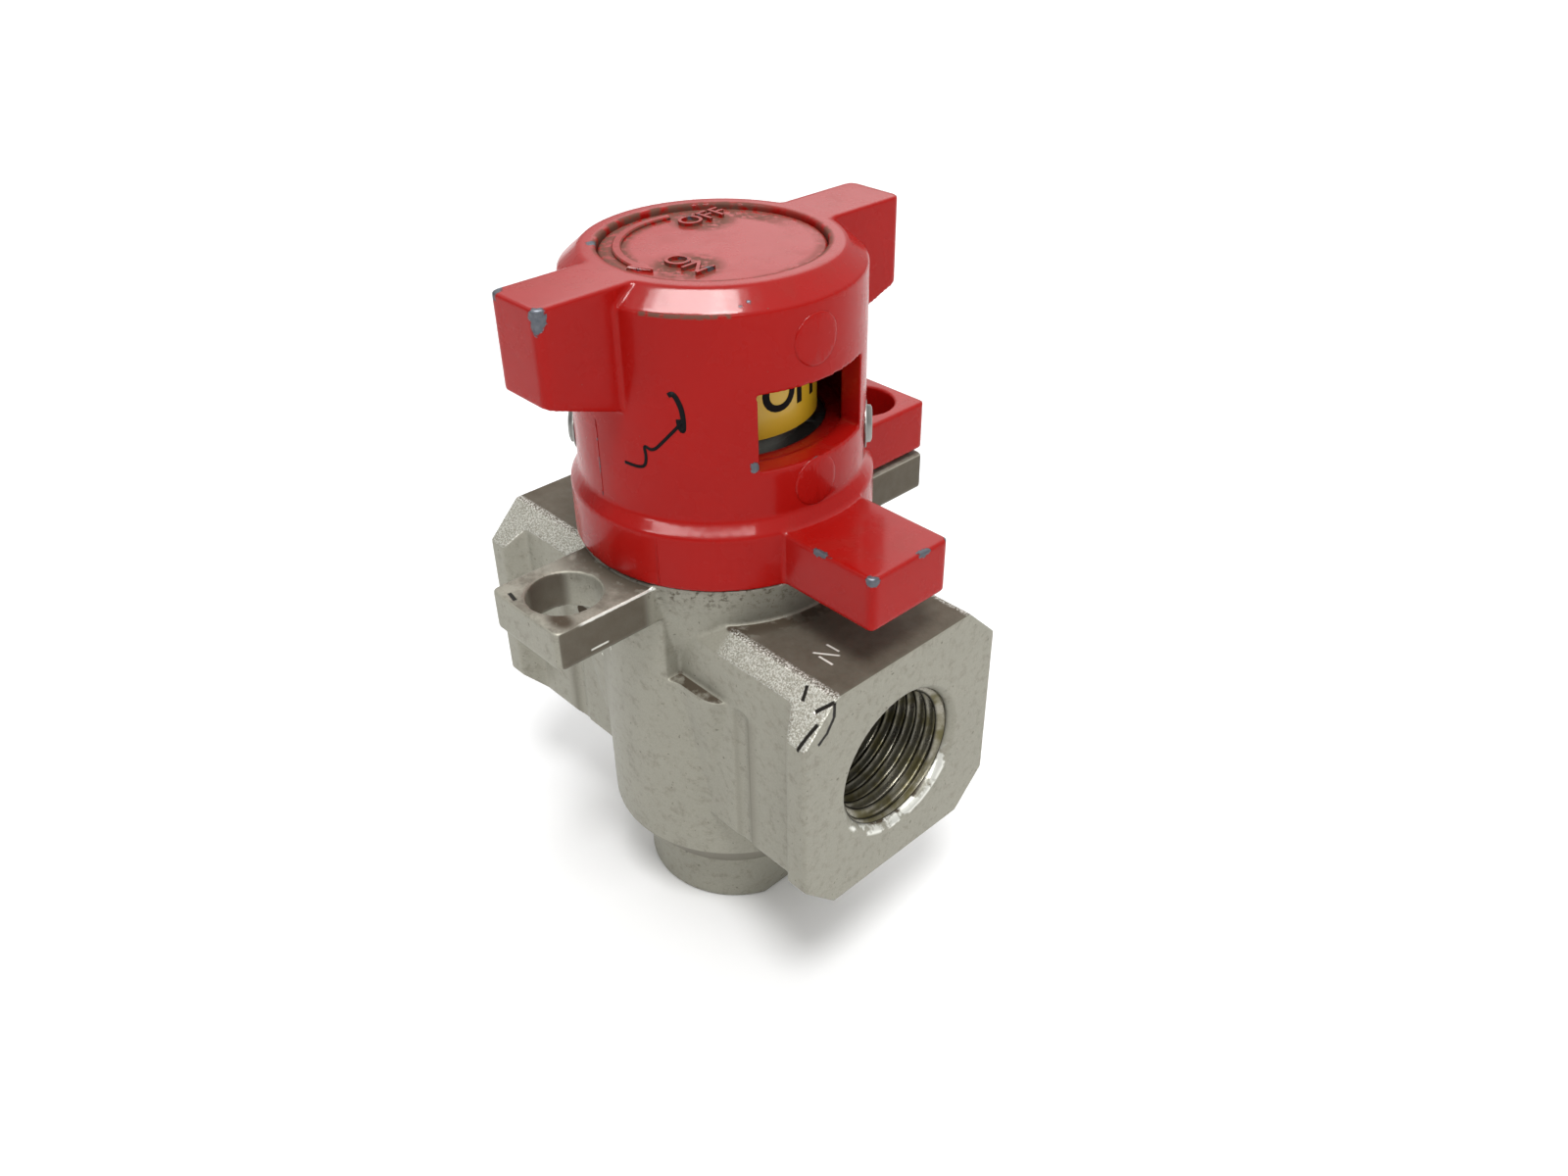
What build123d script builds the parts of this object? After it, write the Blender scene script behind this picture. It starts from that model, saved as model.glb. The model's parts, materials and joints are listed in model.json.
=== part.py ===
"""Lockable three-port hand valve for compressed air.

A red knob turns a quarter turn and a cam sleeve inside it drives the poppet down:
the outlet port then changes over from the exhaust port below to the inlet port.
Origin: centre of the exhaust port's lower face. +Z runs up the knob's axis and
+X runs out through the outlet port.
"""
import math
import os

from build123d import *

os.makedirs("parts", exist_ok=True)

# ---- Ports and heights: the driving dimensions, in mm ----
FACE_TO_FACE = 70.0       # over the two side port faces
PORT_Z = 38.5             # axis of the two side ports
PORT_R = 10.48            # half the major diameter of a half-inch pipe thread
PORT_DEPTH = 18.0
PORT_LEAD = 0.8           # lead-in chamfer at each port's mouth
CAP_TOP_Z = 8.5           # top of the exhaust cap's outer boss
BARREL_LOW_Z = 14.6
SHELF_Z = 46.5
LUG_LOW_Z = 56.7
LUG_TOP_Z = 62.4
BODY_TOP_Z = 62.9
COLLAR_LOW_Z = 63.2
COLLAR_TOP_Z = 70.9
BEVEL_TOP_Z = 72.9
WINDOW_LOW_Z = 79.4
WINDOW_TOP_Z = 89.7
WING_TIP_LOW_Z = 90.4
WING_ROOT_LOW_Z = 86.5
KNOB_EDGE_Z = 99.9
KNOB_TOP_Z = 102.4
TURN_DEG = 90.0           # knob travel, exhaust to supply
LIFT = 6.0                # poppet travel over that turn

# ---- Body casting ----
BARREL_R = 19.3
CONE_LOW_R = 14.8
NECK_LOW_R = 16.4
NECK_TOP_R = 20.3
FLANGE_HALF_W = 18.4
FLANGE_HALF_H = 18.0
FLANGE_TOP_CORNER = 5.7
FLANGE_LOW_CORNER = 5.2
FLANGE_T = 3.4
FLANGE_RAMP = 2.2
BLOCK_HALF_W = 15.3
LUG_REACH = 34.2
LUG_HALF_W = 7.4
WEB_HALF_W = 7.2
LUG_CORNER_R = 1.0
LOCK_R = 5.0
LOCK_Y = 27.8
GROOVE_R = 2.0
GROOVE_X = 19.4
GROOVE_Y = 16.6
GROOVE_LOW_Z = 22.0
CORNER_HALF_X = 17.7      # rounded corners of the shelf
CORNER_HALF_Y = 17.2
CORNER_LOW_HALF = 14.8    # where they fade into the barrel
CORNER_R = 4.5
EDGE_R = 0.5

# ---- Bores inside the body ----
LOW_BORE_R = 13.0
SEAT_R = 8.0
SEAT_LOW_Z = 37.0
SEAT_TOP_Z = 40.0
TOP_BORE_R = 11.5
PASSAGE_R = 5.0
PASSAGE_SHIFT = 5.0       # inlet passage above the port axis, outlet passage below it
PASSAGE_OVERLAP = 1.5
FIT = 0.05                # radial clearance of a running fit
RELIEF = 0.5              # run-out past a face that a cut has to clear
SEAT_GAP = 0.15           # between a closed seal and its seat

# ---- Exhaust cap ----
CAP_R = 14.4
CAP_FLAT_X = 13.1
CAP_SPIGOT_TOP = 23.2
CAP_LEDGE_Z = 13.0
CAP_LEDGE_T = 2.0
CAP_LEDGE_R = 4.6
CAP_THROAT_R = 7.6
CAP_LIP_H = 1.0           # raised seat lip at the spigot's top
CAP_LIP_T = 1.2
CAP_SEAL_SECTION = 0.9
CAP_SEAL_Z = 10.9

# ---- Poppet and stem ----
STEM_R = 3.0
POPPET_R = 9.8
UPPER_SEAL_T = 2.0
POPPET_T = 3.2
LOWER_SEAL_T = 2.3
RETAINER_R = 6.6
RETAINER_T = 1.2
NUT_ACROSS = 7.0
NUT_T = 3.0
PIN_R = 1.5
PIN_HALF = 9.6
PIN_Z = 83.0
SLOT_SLOPE = 1.15         # a sloping slot is this much taller than the pin
STEM_TOP_Z = 86.5
WIRE_R = 0.6
SPRING_R = 5.6
SPRING_TURNS = 4.0

# ---- Bonnet ----
SPIGOT_LOW_Z = 51.5
BONNET_R = 17.2
BONNET_FLANGE_T = 3.1
GUIDE_R = 7.0
GUIDE_BORE_R = 4.2
GUIDE_BORE_Z = 69.0
GUIDE_TOP_Z = 93.0
SCREW_RING_R = 14.2
SCREW_R = 1.5
SCREW_HEAD_R = 2.7
SCREW_HEAD_T = 2.2
SCREW_LENGTH = 9.0
BONNET_SEAL_SECTION = 0.9
BONNET_SEAL_Z = 55.5
ROD_SEAL_SECTION = 0.8
ROD_SEAL_Z = 59.5

# ---- Cam sleeve and knob ----
CAM_R = 10.9
CAM_LOW_Z = 67.4
CAM_TOP_Z = 90.6
RING_T = 1.2              # snap ring above the cam sleeve
RING_W = 2.0
DRIVE_RING_R = 16.6
DRIVE_RING_LOW_Z = 74.0
DRIVE_RING_TOP_Z = 77.8
LEDGE_R = 14.2            # ledge inside the knob, above the drive ring
LEDGE_LOW_Z = 77.9
LEDGE_TOP_Z = 79.2
KNOB_R = 19.6
KNOB_TOP_R = 16.7
KNOB_BORE_R = 16.6
SKIRT_BORE_R = 17.6
COLLAR_R = 20.85
CAP_DISC_R = 14.5
CAP_DISC_LOW_Z = 99.6
CAP_DISC_TOP_Z = 101.7
CAP_DISC_BEVEL = 0.3
CAP_PLUG_H = 1.2
KNOB_WALL_Z = 97.6        # underside of the knob's crown
CROWN_HOLE_R = 9.0
WING_REACH = 29.7
WING_HALF_W = 4.7
WING_OVERLAP = 1.0        # how far a wing's slope runs inside the barrel
WING_TIP_R = 1.2
TAB_CORNER_R = 1.0
TAB_REACH_SOLID = 35.0
TAB_REACH_HOLED = 34.5
TAB_HALF_W = 7.0
WINDOW_HALF_W = 8.8
SIDE_SCREW_Z = 76.9
SIDE_SCREW_DEG = 45.0
SIDE_HEAD_R = 3.3
SIDE_HEAD_T = 1.5
SPOT_R = 19.3             # the spot-faced flats under the side screws

# ---- Indicator ----
DRUM_R = 13.0
DRUM_WALL = 1.2
DRUM_LOW_Z = 80.2
DRUM_TOP_Z = 95.6
DRUM_SCREW_HEAD_T = 1.6
DRUM_SCREW_LENGTH = 4.0
DRIVER_SLOT_W = 1.2
LABEL_T = 0.2
LABEL_LOW_Z = 80.4
LABEL_TOP_Z = 93.4
LABEL_SPAN_DEG = 72.0


def sleeve(inner_r, outer_r, low_z, high_z):
    """A round sleeve about the Z axis, solid where inner_r is 0."""
    with BuildPart() as piece:
        with BuildSketch(Plane.XY.offset(low_z)):
            Circle(outer_r)
            if inner_r > 0:
                Circle(inner_r, mode=Mode.SUBTRACT)
        extrude(amount=high_z - low_z)
    return piece


def o_ring(centre_r, centre_z, section_r):
    """A seal ring about the Z axis."""
    with BuildPart() as piece:
        with BuildSketch(Plane.XZ):
            with Locations((centre_r, centre_z)):
                Circle(section_r)
        revolve(axis=Axis.Z)
    return piece


def flange_section(half_w, plane):
    """The port block's octagon; a narrower block keeps the flange's corner planes."""
    inset = FLANGE_HALF_W - half_w
    with BuildSketch(plane) as section:
        Rectangle(2 * half_w, 2 * FLANGE_HALF_H)
        by_height = section.vertices().group_by(Axis.Z)
        chamfer(by_height[-1], FLANGE_TOP_CORNER - inset)
        chamfer(by_height[0], FLANGE_LOW_CORNER - inset)
    return section.sketch


# ------------------------------------------------------------------ valve body
half_length = FACE_TO_FACE / 2
flange_back_x = half_length - FLANGE_T
with BuildPart() as valve_body:
    # barrel, tapered foot and tapered neck
    with BuildSketch(Plane.XZ):
        with BuildLine():
            Polyline(
                (0, CAP_TOP_Z),
                (CONE_LOW_R, CAP_TOP_Z),
                (BARREL_R, BARREL_LOW_Z),
                (BARREL_R, SHELF_Z),
                (NECK_LOW_R, SHELF_Z),
                (NECK_TOP_R, BODY_TOP_Z),
                (0, BODY_TOP_Z),
                close=True,
            )
        make_face()
    revolve(axis=Axis.Z)
    # rounded corners that grow out of the barrel up to the shelf
    with BuildSketch(Plane.XY.offset(GROOVE_LOW_Z)):
        RectangleRounded(2 * CORNER_LOW_HALF, 2 * CORNER_LOW_HALF, CORNER_R)
    with BuildSketch(Plane.XY.offset(SHELF_Z)):
        RectangleRounded(2 * CORNER_HALF_X, 2 * CORNER_HALF_Y, CORNER_R)
    loft()
    # webs that carry the two lugs
    with BuildSketch(Plane.XY.offset(SHELF_Z - 1.0)):
        Rectangle(2 * WEB_HALF_W, 2 * BARREL_R)
        Circle(BARREL_R - FIT, mode=Mode.INTERSECT)
    extrude(amount=LUG_LOW_Z - SHELF_Z + 2.0)
    # padlock lugs
    with BuildSketch(Plane.XY.offset(LUG_LOW_Z)) as lugs:
        Rectangle(2 * LUG_HALF_W, 2 * LUG_REACH)
        fillet(lugs.vertices(), LUG_CORNER_R)
    extrude(amount=LUG_TOP_Z - LUG_LOW_Z)
    # port blocks, their flanges and the ramps between
    for side in (-1, 1):
        face_plane = Plane((0, 0, PORT_Z), x_dir=(0, side, 0), z_dir=(side, 0, 0))
        extrude(flange_section(BLOCK_HALF_W, face_plane), amount=flange_back_x)
        ramp_start = flange_section(BLOCK_HALF_W, face_plane.offset(flange_back_x - FLANGE_RAMP))
        flange = flange_section(FLANGE_HALF_W, face_plane.offset(flange_back_x))
        loft([ramp_start, flange])
        extrude(flange, amount=FLANGE_T)
    # vertical grooves in the port blocks, beside the corners
    with BuildSketch(Plane.XY.offset(GROOVE_LOW_Z)):
        with GridLocations(2 * GROOVE_X, 2 * GROOVE_Y, 2, 2):
            Circle(GROOVE_R)
    extrude(amount=SHELF_Z - GROOVE_LOW_Z, mode=Mode.SUBTRACT)
    # central bores
    with BuildSketch(Plane.XY.offset(CAP_TOP_Z)):
        Circle(LOW_BORE_R)
    extrude(amount=SEAT_LOW_Z - CAP_TOP_Z, mode=Mode.SUBTRACT)
    with BuildSketch(Plane.XY.offset(SEAT_LOW_Z)):
        Circle(SEAT_R)
    extrude(amount=SEAT_TOP_Z - SEAT_LOW_Z, mode=Mode.SUBTRACT)
    with BuildSketch(Plane.XY.offset(SEAT_TOP_Z)):
        Circle(TOP_BORE_R)
    extrude(amount=BODY_TOP_Z - SEAT_TOP_Z, mode=Mode.SUBTRACT)
    # threaded ports with their lead-ins, and the passages to the chambers
    for side in (-1, 1):
        mouth = Plane((side * half_length, 0, PORT_Z), x_dir=(0, side, 0), z_dir=(-side, 0, 0))
        with BuildSketch(mouth):
            Circle(PORT_R)
        extrude(amount=PORT_DEPTH, mode=Mode.SUBTRACT)
        with BuildSketch(mouth):
            Circle(PORT_R + PORT_LEAD)
        with BuildSketch(mouth.offset(PORT_LEAD)):
            Circle(PORT_R)
        loft(mode=Mode.SUBTRACT)
        passage = Plane(
            (side * (half_length - PORT_DEPTH), 0, PORT_Z - side * PASSAGE_SHIFT),
            x_dir=(0, side, 0),
            z_dir=(-side, 0, 0),
        )
        with BuildSketch(passage):
            Circle(PASSAGE_R)
        extrude(amount=half_length - PORT_DEPTH - TOP_BORE_R + PASSAGE_OVERLAP, mode=Mode.SUBTRACT)
    # padlock holes
    with BuildSketch(Plane.XY.offset(LUG_LOW_Z)):
        with Locations((0, LOCK_Y), (0, -LOCK_Y)):
            Circle(LOCK_R)
    extrude(amount=LUG_TOP_Z - LUG_LOW_Z, mode=Mode.SUBTRACT)
    # tapped holes for the bonnet screws
    with BuildSketch(Plane.XY.offset(BODY_TOP_Z)):
        with PolarLocations(SCREW_RING_R, 4, start_angle=45):
            Circle(SCREW_R + FIT)
    extrude(amount=-(SCREW_LENGTH - BONNET_FLANGE_T + 2 * RELIEF), mode=Mode.SUBTRACT)
valve_body.part.label = "valve_body"
export_step(valve_body.part, "parts/valve_body.step")

# ------------------------------------------------------------------ exhaust cap
with BuildPart() as exhaust_cap:
    with BuildSketch(Plane.XY):
        Circle(CAP_R)
        Rectangle(2 * CAP_FLAT_X, 2 * CAP_R, mode=Mode.INTERSECT)
    extrude(amount=CAP_TOP_Z)
    fillet(exhaust_cap.faces().sort_by(Axis.Z)[0].edges(), EDGE_R)
    with BuildSketch(Plane.XY.offset(CAP_TOP_Z)):
        Circle(LOW_BORE_R - FIT)
    extrude(amount=CAP_SPIGOT_TOP - CAP_TOP_Z)
    # groove for the seal ring
    with BuildSketch(Plane.XY.offset(CAP_SEAL_Z - CAP_SEAL_SECTION)):
        Circle(LOW_BORE_R)
        Circle(LOW_BORE_R - 2 * CAP_SEAL_SECTION, mode=Mode.SUBTRACT)
    extrude(amount=2 * CAP_SEAL_SECTION, mode=Mode.SUBTRACT)
    # threaded exhaust port, spring ledge and throat
    with BuildSketch(Plane.XY):
        Circle(PORT_R)
    extrude(amount=CAP_LEDGE_Z - CAP_LEDGE_T, mode=Mode.SUBTRACT)
    with BuildSketch(Plane.XY.offset(CAP_LEDGE_Z - CAP_LEDGE_T)):
        Circle(CAP_LEDGE_R)
    extrude(amount=CAP_LEDGE_T, mode=Mode.SUBTRACT)
    with BuildSketch(Plane.XY.offset(CAP_LEDGE_Z)):
        Circle(CAP_THROAT_R)
    extrude(amount=CAP_SPIGOT_TOP - CAP_LEDGE_Z, mode=Mode.SUBTRACT)
    # raised seat lip: the outer shoulder is turned down
    with BuildSketch(Plane.XY.offset(CAP_SPIGOT_TOP - CAP_LIP_H)):
        Circle(LOW_BORE_R)
        Circle(CAP_THROAT_R + CAP_LIP_T, mode=Mode.SUBTRACT)
    extrude(amount=CAP_LIP_H, mode=Mode.SUBTRACT)
exhaust_cap.part.label = "exhaust_cap"
export_step(exhaust_cap.part, "parts/exhaust_cap.step")

exhaust_cap_o_ring = o_ring(LOW_BORE_R - CAP_SEAL_SECTION - FIT, CAP_SEAL_Z, CAP_SEAL_SECTION - FIT)
exhaust_cap_o_ring.part.label = "exhaust_cap_o_ring"
export_step(exhaust_cap_o_ring.part, "parts/exhaust_cap_o_ring.step")

# ------------------------------------------------------------------ poppet stack, closed on the upper seat
upper_seal_top = SEAT_LOW_Z - SEAT_GAP
poppet_top = upper_seal_top - UPPER_SEAL_T
poppet_low = poppet_top - POPPET_T
lower_seal_low = poppet_low - LOWER_SEAL_T
retainer_low = lower_seal_low - RETAINER_T
nut_low = retainer_low - NUT_T

upper_seal = sleeve(STEM_R, POPPET_R, poppet_top, upper_seal_top)
upper_seal.part.label = "upper_seal"
export_step(upper_seal.part, "parts/upper_seal.step")

poppet = sleeve(STEM_R, POPPET_R, poppet_low, poppet_top)
poppet.part.label = "poppet"
export_step(poppet.part, "parts/poppet.step")

lower_seal = sleeve(STEM_R, POPPET_R, lower_seal_low, poppet_low)
lower_seal.part.label = "lower_seal"
export_step(lower_seal.part, "parts/lower_seal.step")

seal_retainer = sleeve(STEM_R, RETAINER_R, retainer_low, lower_seal_low)
seal_retainer.part.label = "seal_retainer"
export_step(seal_retainer.part, "parts/seal_retainer.step")

with BuildPart() as poppet_nut:
    with BuildSketch(Plane.XY.offset(nut_low)):
        RegularPolygon(NUT_ACROSS / 2, 6, major_radius=False)
        Circle(STEM_R, mode=Mode.SUBTRACT)
    extrude(amount=NUT_T)
poppet_nut.part.label = "poppet_nut"
export_step(poppet_nut.part, "parts/poppet_nut.step")

with BuildPart() as stem:
    with BuildSketch(Plane.XY.offset(nut_low)):
        Circle(STEM_R)
    extrude(amount=STEM_TOP_Z - nut_low)
    chamfer(stem.faces().sort_by(Axis.Z)[-1].edges(), EDGE_R)
    # cross hole for the pin
    with BuildSketch(Plane((-STEM_R, 0, PIN_Z), x_dir=(0, 1, 0), z_dir=(1, 0, 0))):
        Circle(PIN_R)
    extrude(amount=2 * STEM_R, mode=Mode.SUBTRACT)
stem.part.label = "stem"
export_step(stem.part, "parts/stem.step")

with BuildPart() as cross_pin:
    with BuildSketch(Plane((-PIN_HALF, 0, PIN_Z), x_dir=(0, 1, 0), z_dir=(1, 0, 0))):
        Circle(PIN_R)
    extrude(amount=2 * PIN_HALF)
cross_pin.part.label = "cross_pin"
export_step(cross_pin.part, "parts/cross_pin.step")

# ------------------------------------------------------------------ return spring
spring_low = CAP_LEDGE_Z + WIRE_R
spring_high = retainer_low - SEAT_GAP - WIRE_R
spring_rise = spring_high - spring_low
with BuildPart() as return_spring:
    with BuildLine():
        coil = Helix(spring_rise / SPRING_TURNS, spring_rise, SPRING_R, center=(0, 0, spring_low))
    with BuildSketch(Plane(coil @ 0, z_dir=coil % 0)):
        Circle(WIRE_R)
    sweep(is_frenet=True)
return_spring.part.label = "return_spring"
export_step(return_spring.part, "parts/return_spring.step")

# ------------------------------------------------------------------ bonnet with guide tube
bonnet_flange_top = BODY_TOP_Z + BONNET_FLANGE_T
with BuildPart() as bonnet:
    with BuildSketch(Plane.XZ):
        with BuildLine():
            Polyline(
                (0, SPIGOT_LOW_Z),
                (TOP_BORE_R - FIT, SPIGOT_LOW_Z),
                (TOP_BORE_R - FIT, BODY_TOP_Z),
                (BONNET_R, BODY_TOP_Z),
                (BONNET_R, bonnet_flange_top),
                (GUIDE_R, bonnet_flange_top),
                (GUIDE_R, GUIDE_TOP_Z),
                (0, GUIDE_TOP_Z),
                close=True,
            )
        make_face()
    revolve(axis=Axis.Z)
    with BuildSketch(Plane.XY.offset(SPIGOT_LOW_Z)):
        Circle(STEM_R + FIT)
    extrude(amount=GUIDE_BORE_Z - SPIGOT_LOW_Z, mode=Mode.SUBTRACT)
    with BuildSketch(Plane.XY.offset(GUIDE_BORE_Z)):
        Circle(GUIDE_BORE_R)
    extrude(amount=GUIDE_TOP_Z - GUIDE_BORE_Z, mode=Mode.SUBTRACT)
    # seal grooves, outside for the body bore and inside for the stem
    with BuildSketch(Plane.XY.offset(BONNET_SEAL_Z - BONNET_SEAL_SECTION)):
        Circle(TOP_BORE_R)
        Circle(TOP_BORE_R - 2 * BONNET_SEAL_SECTION, mode=Mode.SUBTRACT)
    extrude(amount=2 * BONNET_SEAL_SECTION, mode=Mode.SUBTRACT)
    with BuildSketch(Plane.XY.offset(ROD_SEAL_Z - ROD_SEAL_SECTION)):
        Circle(STEM_R + 2 * ROD_SEAL_SECTION + FIT)
    extrude(amount=2 * ROD_SEAL_SECTION, mode=Mode.SUBTRACT)
    # straight slots that keep the cross pin from turning
    slot_low = PIN_Z - LIFT - PIN_R - FIT
    with BuildSketch(Plane((-GUIDE_R, 0, 0), x_dir=(0, 1, 0), z_dir=(1, 0, 0))):
        with Locations((0, (slot_low + PIN_Z + PIN_R + FIT) / 2)):
            SlotOverall(LIFT + 2 * (PIN_R + FIT), 2 * (PIN_R + FIT), rotation=90)
    extrude(amount=2 * GUIDE_R, mode=Mode.SUBTRACT)
    # clearance holes for the four screws
    with BuildSketch(Plane.XY.offset(BODY_TOP_Z)):
        with PolarLocations(SCREW_RING_R, 4, start_angle=45):
            Circle(SCREW_R + FIT)
    extrude(amount=BONNET_FLANGE_T, mode=Mode.SUBTRACT)
bonnet.part.label = "bonnet"
export_step(bonnet.part, "parts/bonnet.step")

bonnet_o_ring = o_ring(TOP_BORE_R - BONNET_SEAL_SECTION - FIT, BONNET_SEAL_Z, BONNET_SEAL_SECTION - FIT)
bonnet_o_ring.part.label = "bonnet_o_ring"
export_step(bonnet_o_ring.part, "parts/bonnet_o_ring.step")

stem_o_ring = o_ring(STEM_R + FIT + ROD_SEAL_SECTION, ROD_SEAL_Z, ROD_SEAL_SECTION - FIT / 2)
stem_o_ring.part.label = "stem_o_ring"
export_step(stem_o_ring.part, "parts/stem_o_ring.step")

with BuildPart() as bonnet_screws:
    with BuildSketch(Plane.XY.offset(bonnet_flange_top)):
        with PolarLocations(SCREW_RING_R, 4, start_angle=45):
            Circle(SCREW_HEAD_R)
    extrude(amount=SCREW_HEAD_T)
    with BuildSketch(Plane.XY.offset(bonnet_flange_top)):
        with PolarLocations(SCREW_RING_R, 4, start_angle=45):
            Circle(SCREW_R)
    extrude(amount=-SCREW_LENGTH)
    with BuildSketch(Plane.XY.offset(bonnet_flange_top + SCREW_HEAD_T)):
        with PolarLocations(SCREW_RING_R, 4, start_angle=45):
            RegularPolygon(SCREW_R, 6)
    extrude(amount=-SCREW_HEAD_T / 2, mode=Mode.SUBTRACT)
bonnet_screws.part.label = "bonnet_screws"
export_step(bonnet_screws.part, "parts/bonnet_screws.step")

# ------------------------------------------------------------------ cam sleeve
thrust_washer = sleeve(GUIDE_R + FIT, CAM_R, bonnet_flange_top, CAM_LOW_Z - FIT)
thrust_washer.part.label = "thrust_washer"
export_step(thrust_washer.part, "parts/thrust_washer.step")

# The two cam slots climb by LIFT over TURN_DEG, so the pin, which can't turn, is
# pushed down as the sleeve turns. One slot is made from +X and set at both places.
slot_half = PIN_R + 2 * FIT
slot_reach = CAM_R + RELIEF
slot_middle = (GUIDE_R + CAM_R) / 2
with BuildPart() as cam_slot:
    with BuildLine() as slot_track:
        Helix(LIFT * 360 / TURN_DEG, LIFT, slot_middle, center=(0, 0, PIN_Z - LIFT))
    with BuildSketch(Plane(slot_track.line @ 0, x_dir=(1, 0, 0), z_dir=(0, 1, 0))):
        Rectangle(2 * (slot_reach - slot_middle), 2 * slot_half * SLOT_SLOPE)
    sweep(path=slot_track.line, is_frenet=True)

with BuildPart() as cam_sleeve:
    with BuildSketch(Plane.XY.offset(CAM_LOW_Z)):
        Circle(CAM_R)
    extrude(amount=CAM_TOP_Z - CAM_LOW_Z)
    with BuildSketch(Plane.XY.offset(DRIVE_RING_LOW_Z)):
        Circle(DRIVE_RING_R - FIT)
    extrude(amount=DRIVE_RING_TOP_Z - DRIVE_RING_LOW_Z)
    with PolarLocations(0, 2, start_angle=-TURN_DEG):
        add(cam_slot.part, mode=Mode.SUBTRACT)
    # round slot ends, at the top and bottom of the pin's travel
    with BuildSketch(Plane((0, 0, PIN_Z), z_dir=(1, 0, 0))):
        Circle(slot_half)
    extrude(amount=slot_reach, both=True, mode=Mode.SUBTRACT)
    with BuildSketch(Plane((0, 0, PIN_Z - LIFT), z_dir=(0, 1, 0))):
        Circle(slot_half)
    extrude(amount=slot_reach, both=True, mode=Mode.SUBTRACT)
    with BuildSketch(Plane.XY.offset(CAM_LOW_Z)):
        Circle(GUIDE_R + FIT)
    extrude(amount=CAM_TOP_Z - CAM_LOW_Z, mode=Mode.SUBTRACT)
    for angle in (SIDE_SCREW_DEG, SIDE_SCREW_DEG + 180):
        outward = Vector(math.cos(math.radians(angle)), math.sin(math.radians(angle)), 0)
        with BuildSketch(Plane(outward * (CAM_R + RELIEF) + Vector(0, 0, SIDE_SCREW_Z), z_dir=outward)):
            Circle(SCREW_R + FIT)
        extrude(amount=DRIVE_RING_R - CAM_R, mode=Mode.SUBTRACT)
cam_sleeve.part.label = "cam_sleeve"
export_step(cam_sleeve.part, "parts/cam_sleeve.step")

# snap ring that keeps the cam sleeve on the guide tube
retaining_ring = sleeve(GUIDE_R + FIT, GUIDE_R + RING_W, CAM_TOP_Z + FIT, CAM_TOP_Z + RING_T)
retaining_ring.part.label = "retaining_ring"
export_step(retaining_ring.part, "parts/retaining_ring.step")

# ------------------------------------------------------------------ indicator drum, fixed on the guide tube
hub_low = GUIDE_TOP_Z
with BuildPart() as indicator_drum:
    with BuildSketch(Plane.XY.offset(DRUM_LOW_Z)):
        Circle(DRUM_R)
    extrude(amount=DRUM_TOP_Z - DRUM_LOW_Z)
    fillet(indicator_drum.faces().sort_by(Axis.Z)[-1].edges(), 2 * EDGE_R)
    with BuildSketch(Plane.XY.offset(DRUM_LOW_Z)):
        Circle(DRUM_R - DRUM_WALL)
    extrude(amount=hub_low - DRUM_LOW_Z, mode=Mode.SUBTRACT)
    with BuildSketch(Plane.XY.offset(hub_low)):
        Circle(STEM_R)
    extrude(amount=DRUM_TOP_Z - hub_low, mode=Mode.SUBTRACT)
indicator_drum.part.label = "indicator_drum"
export_step(indicator_drum.part, "parts/indicator_drum.step")

with BuildPart() as drum_screw:
    with BuildSketch(Plane.XY.offset(DRUM_TOP_Z)):
        Circle(2 * STEM_R)
    extrude(amount=DRUM_SCREW_HEAD_T)
    with BuildSketch(Plane.XY.offset(DRUM_TOP_Z)):
        Circle(STEM_R - FIT)
    extrude(amount=-(DRUM_TOP_Z - hub_low))
    with BuildSketch(Plane.XY.offset(hub_low)):
        Circle(GUIDE_BORE_R - FIT)
    extrude(amount=-DRUM_SCREW_LENGTH)
    with BuildSketch(Plane.XY.offset(DRUM_TOP_Z + DRUM_SCREW_HEAD_T)):
        Rectangle(DRIVER_SLOT_W, 4 * STEM_R)
    extrude(amount=-DRUM_SCREW_HEAD_T / 2, mode=Mode.SUBTRACT)
drum_screw.part.label = "drum_screw"
export_step(drum_screw.part, "parts/drum_screw.step")

# one curved label for each end of the knob's travel
for name, bearing in (("label_vent", 0.0), ("label_open", TURN_DEG)):
    with BuildPart() as drum_label:
        with BuildSketch(Plane.XY.offset(LABEL_LOW_Z)):
            Circle(DRUM_R + LABEL_T)
            Circle(DRUM_R, mode=Mode.SUBTRACT)
            with BuildLine():
                spread = math.radians(LABEL_SPAN_DEG / 2)
                middle = math.radians(bearing)
                reach = 2 * DRUM_R
                corner_1 = (reach * math.cos(middle - spread), reach * math.sin(middle - spread))
                corner_2 = (reach * math.cos(middle + spread), reach * math.sin(middle + spread))
                Polyline((0, 0), corner_1, corner_2, close=True)
            make_face(mode=Mode.INTERSECT)
        extrude(amount=LABEL_TOP_Z - LABEL_LOW_Z)
    drum_label.part.label = name
    export_step(drum_label.part, f"parts/{name}.step")

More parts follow.
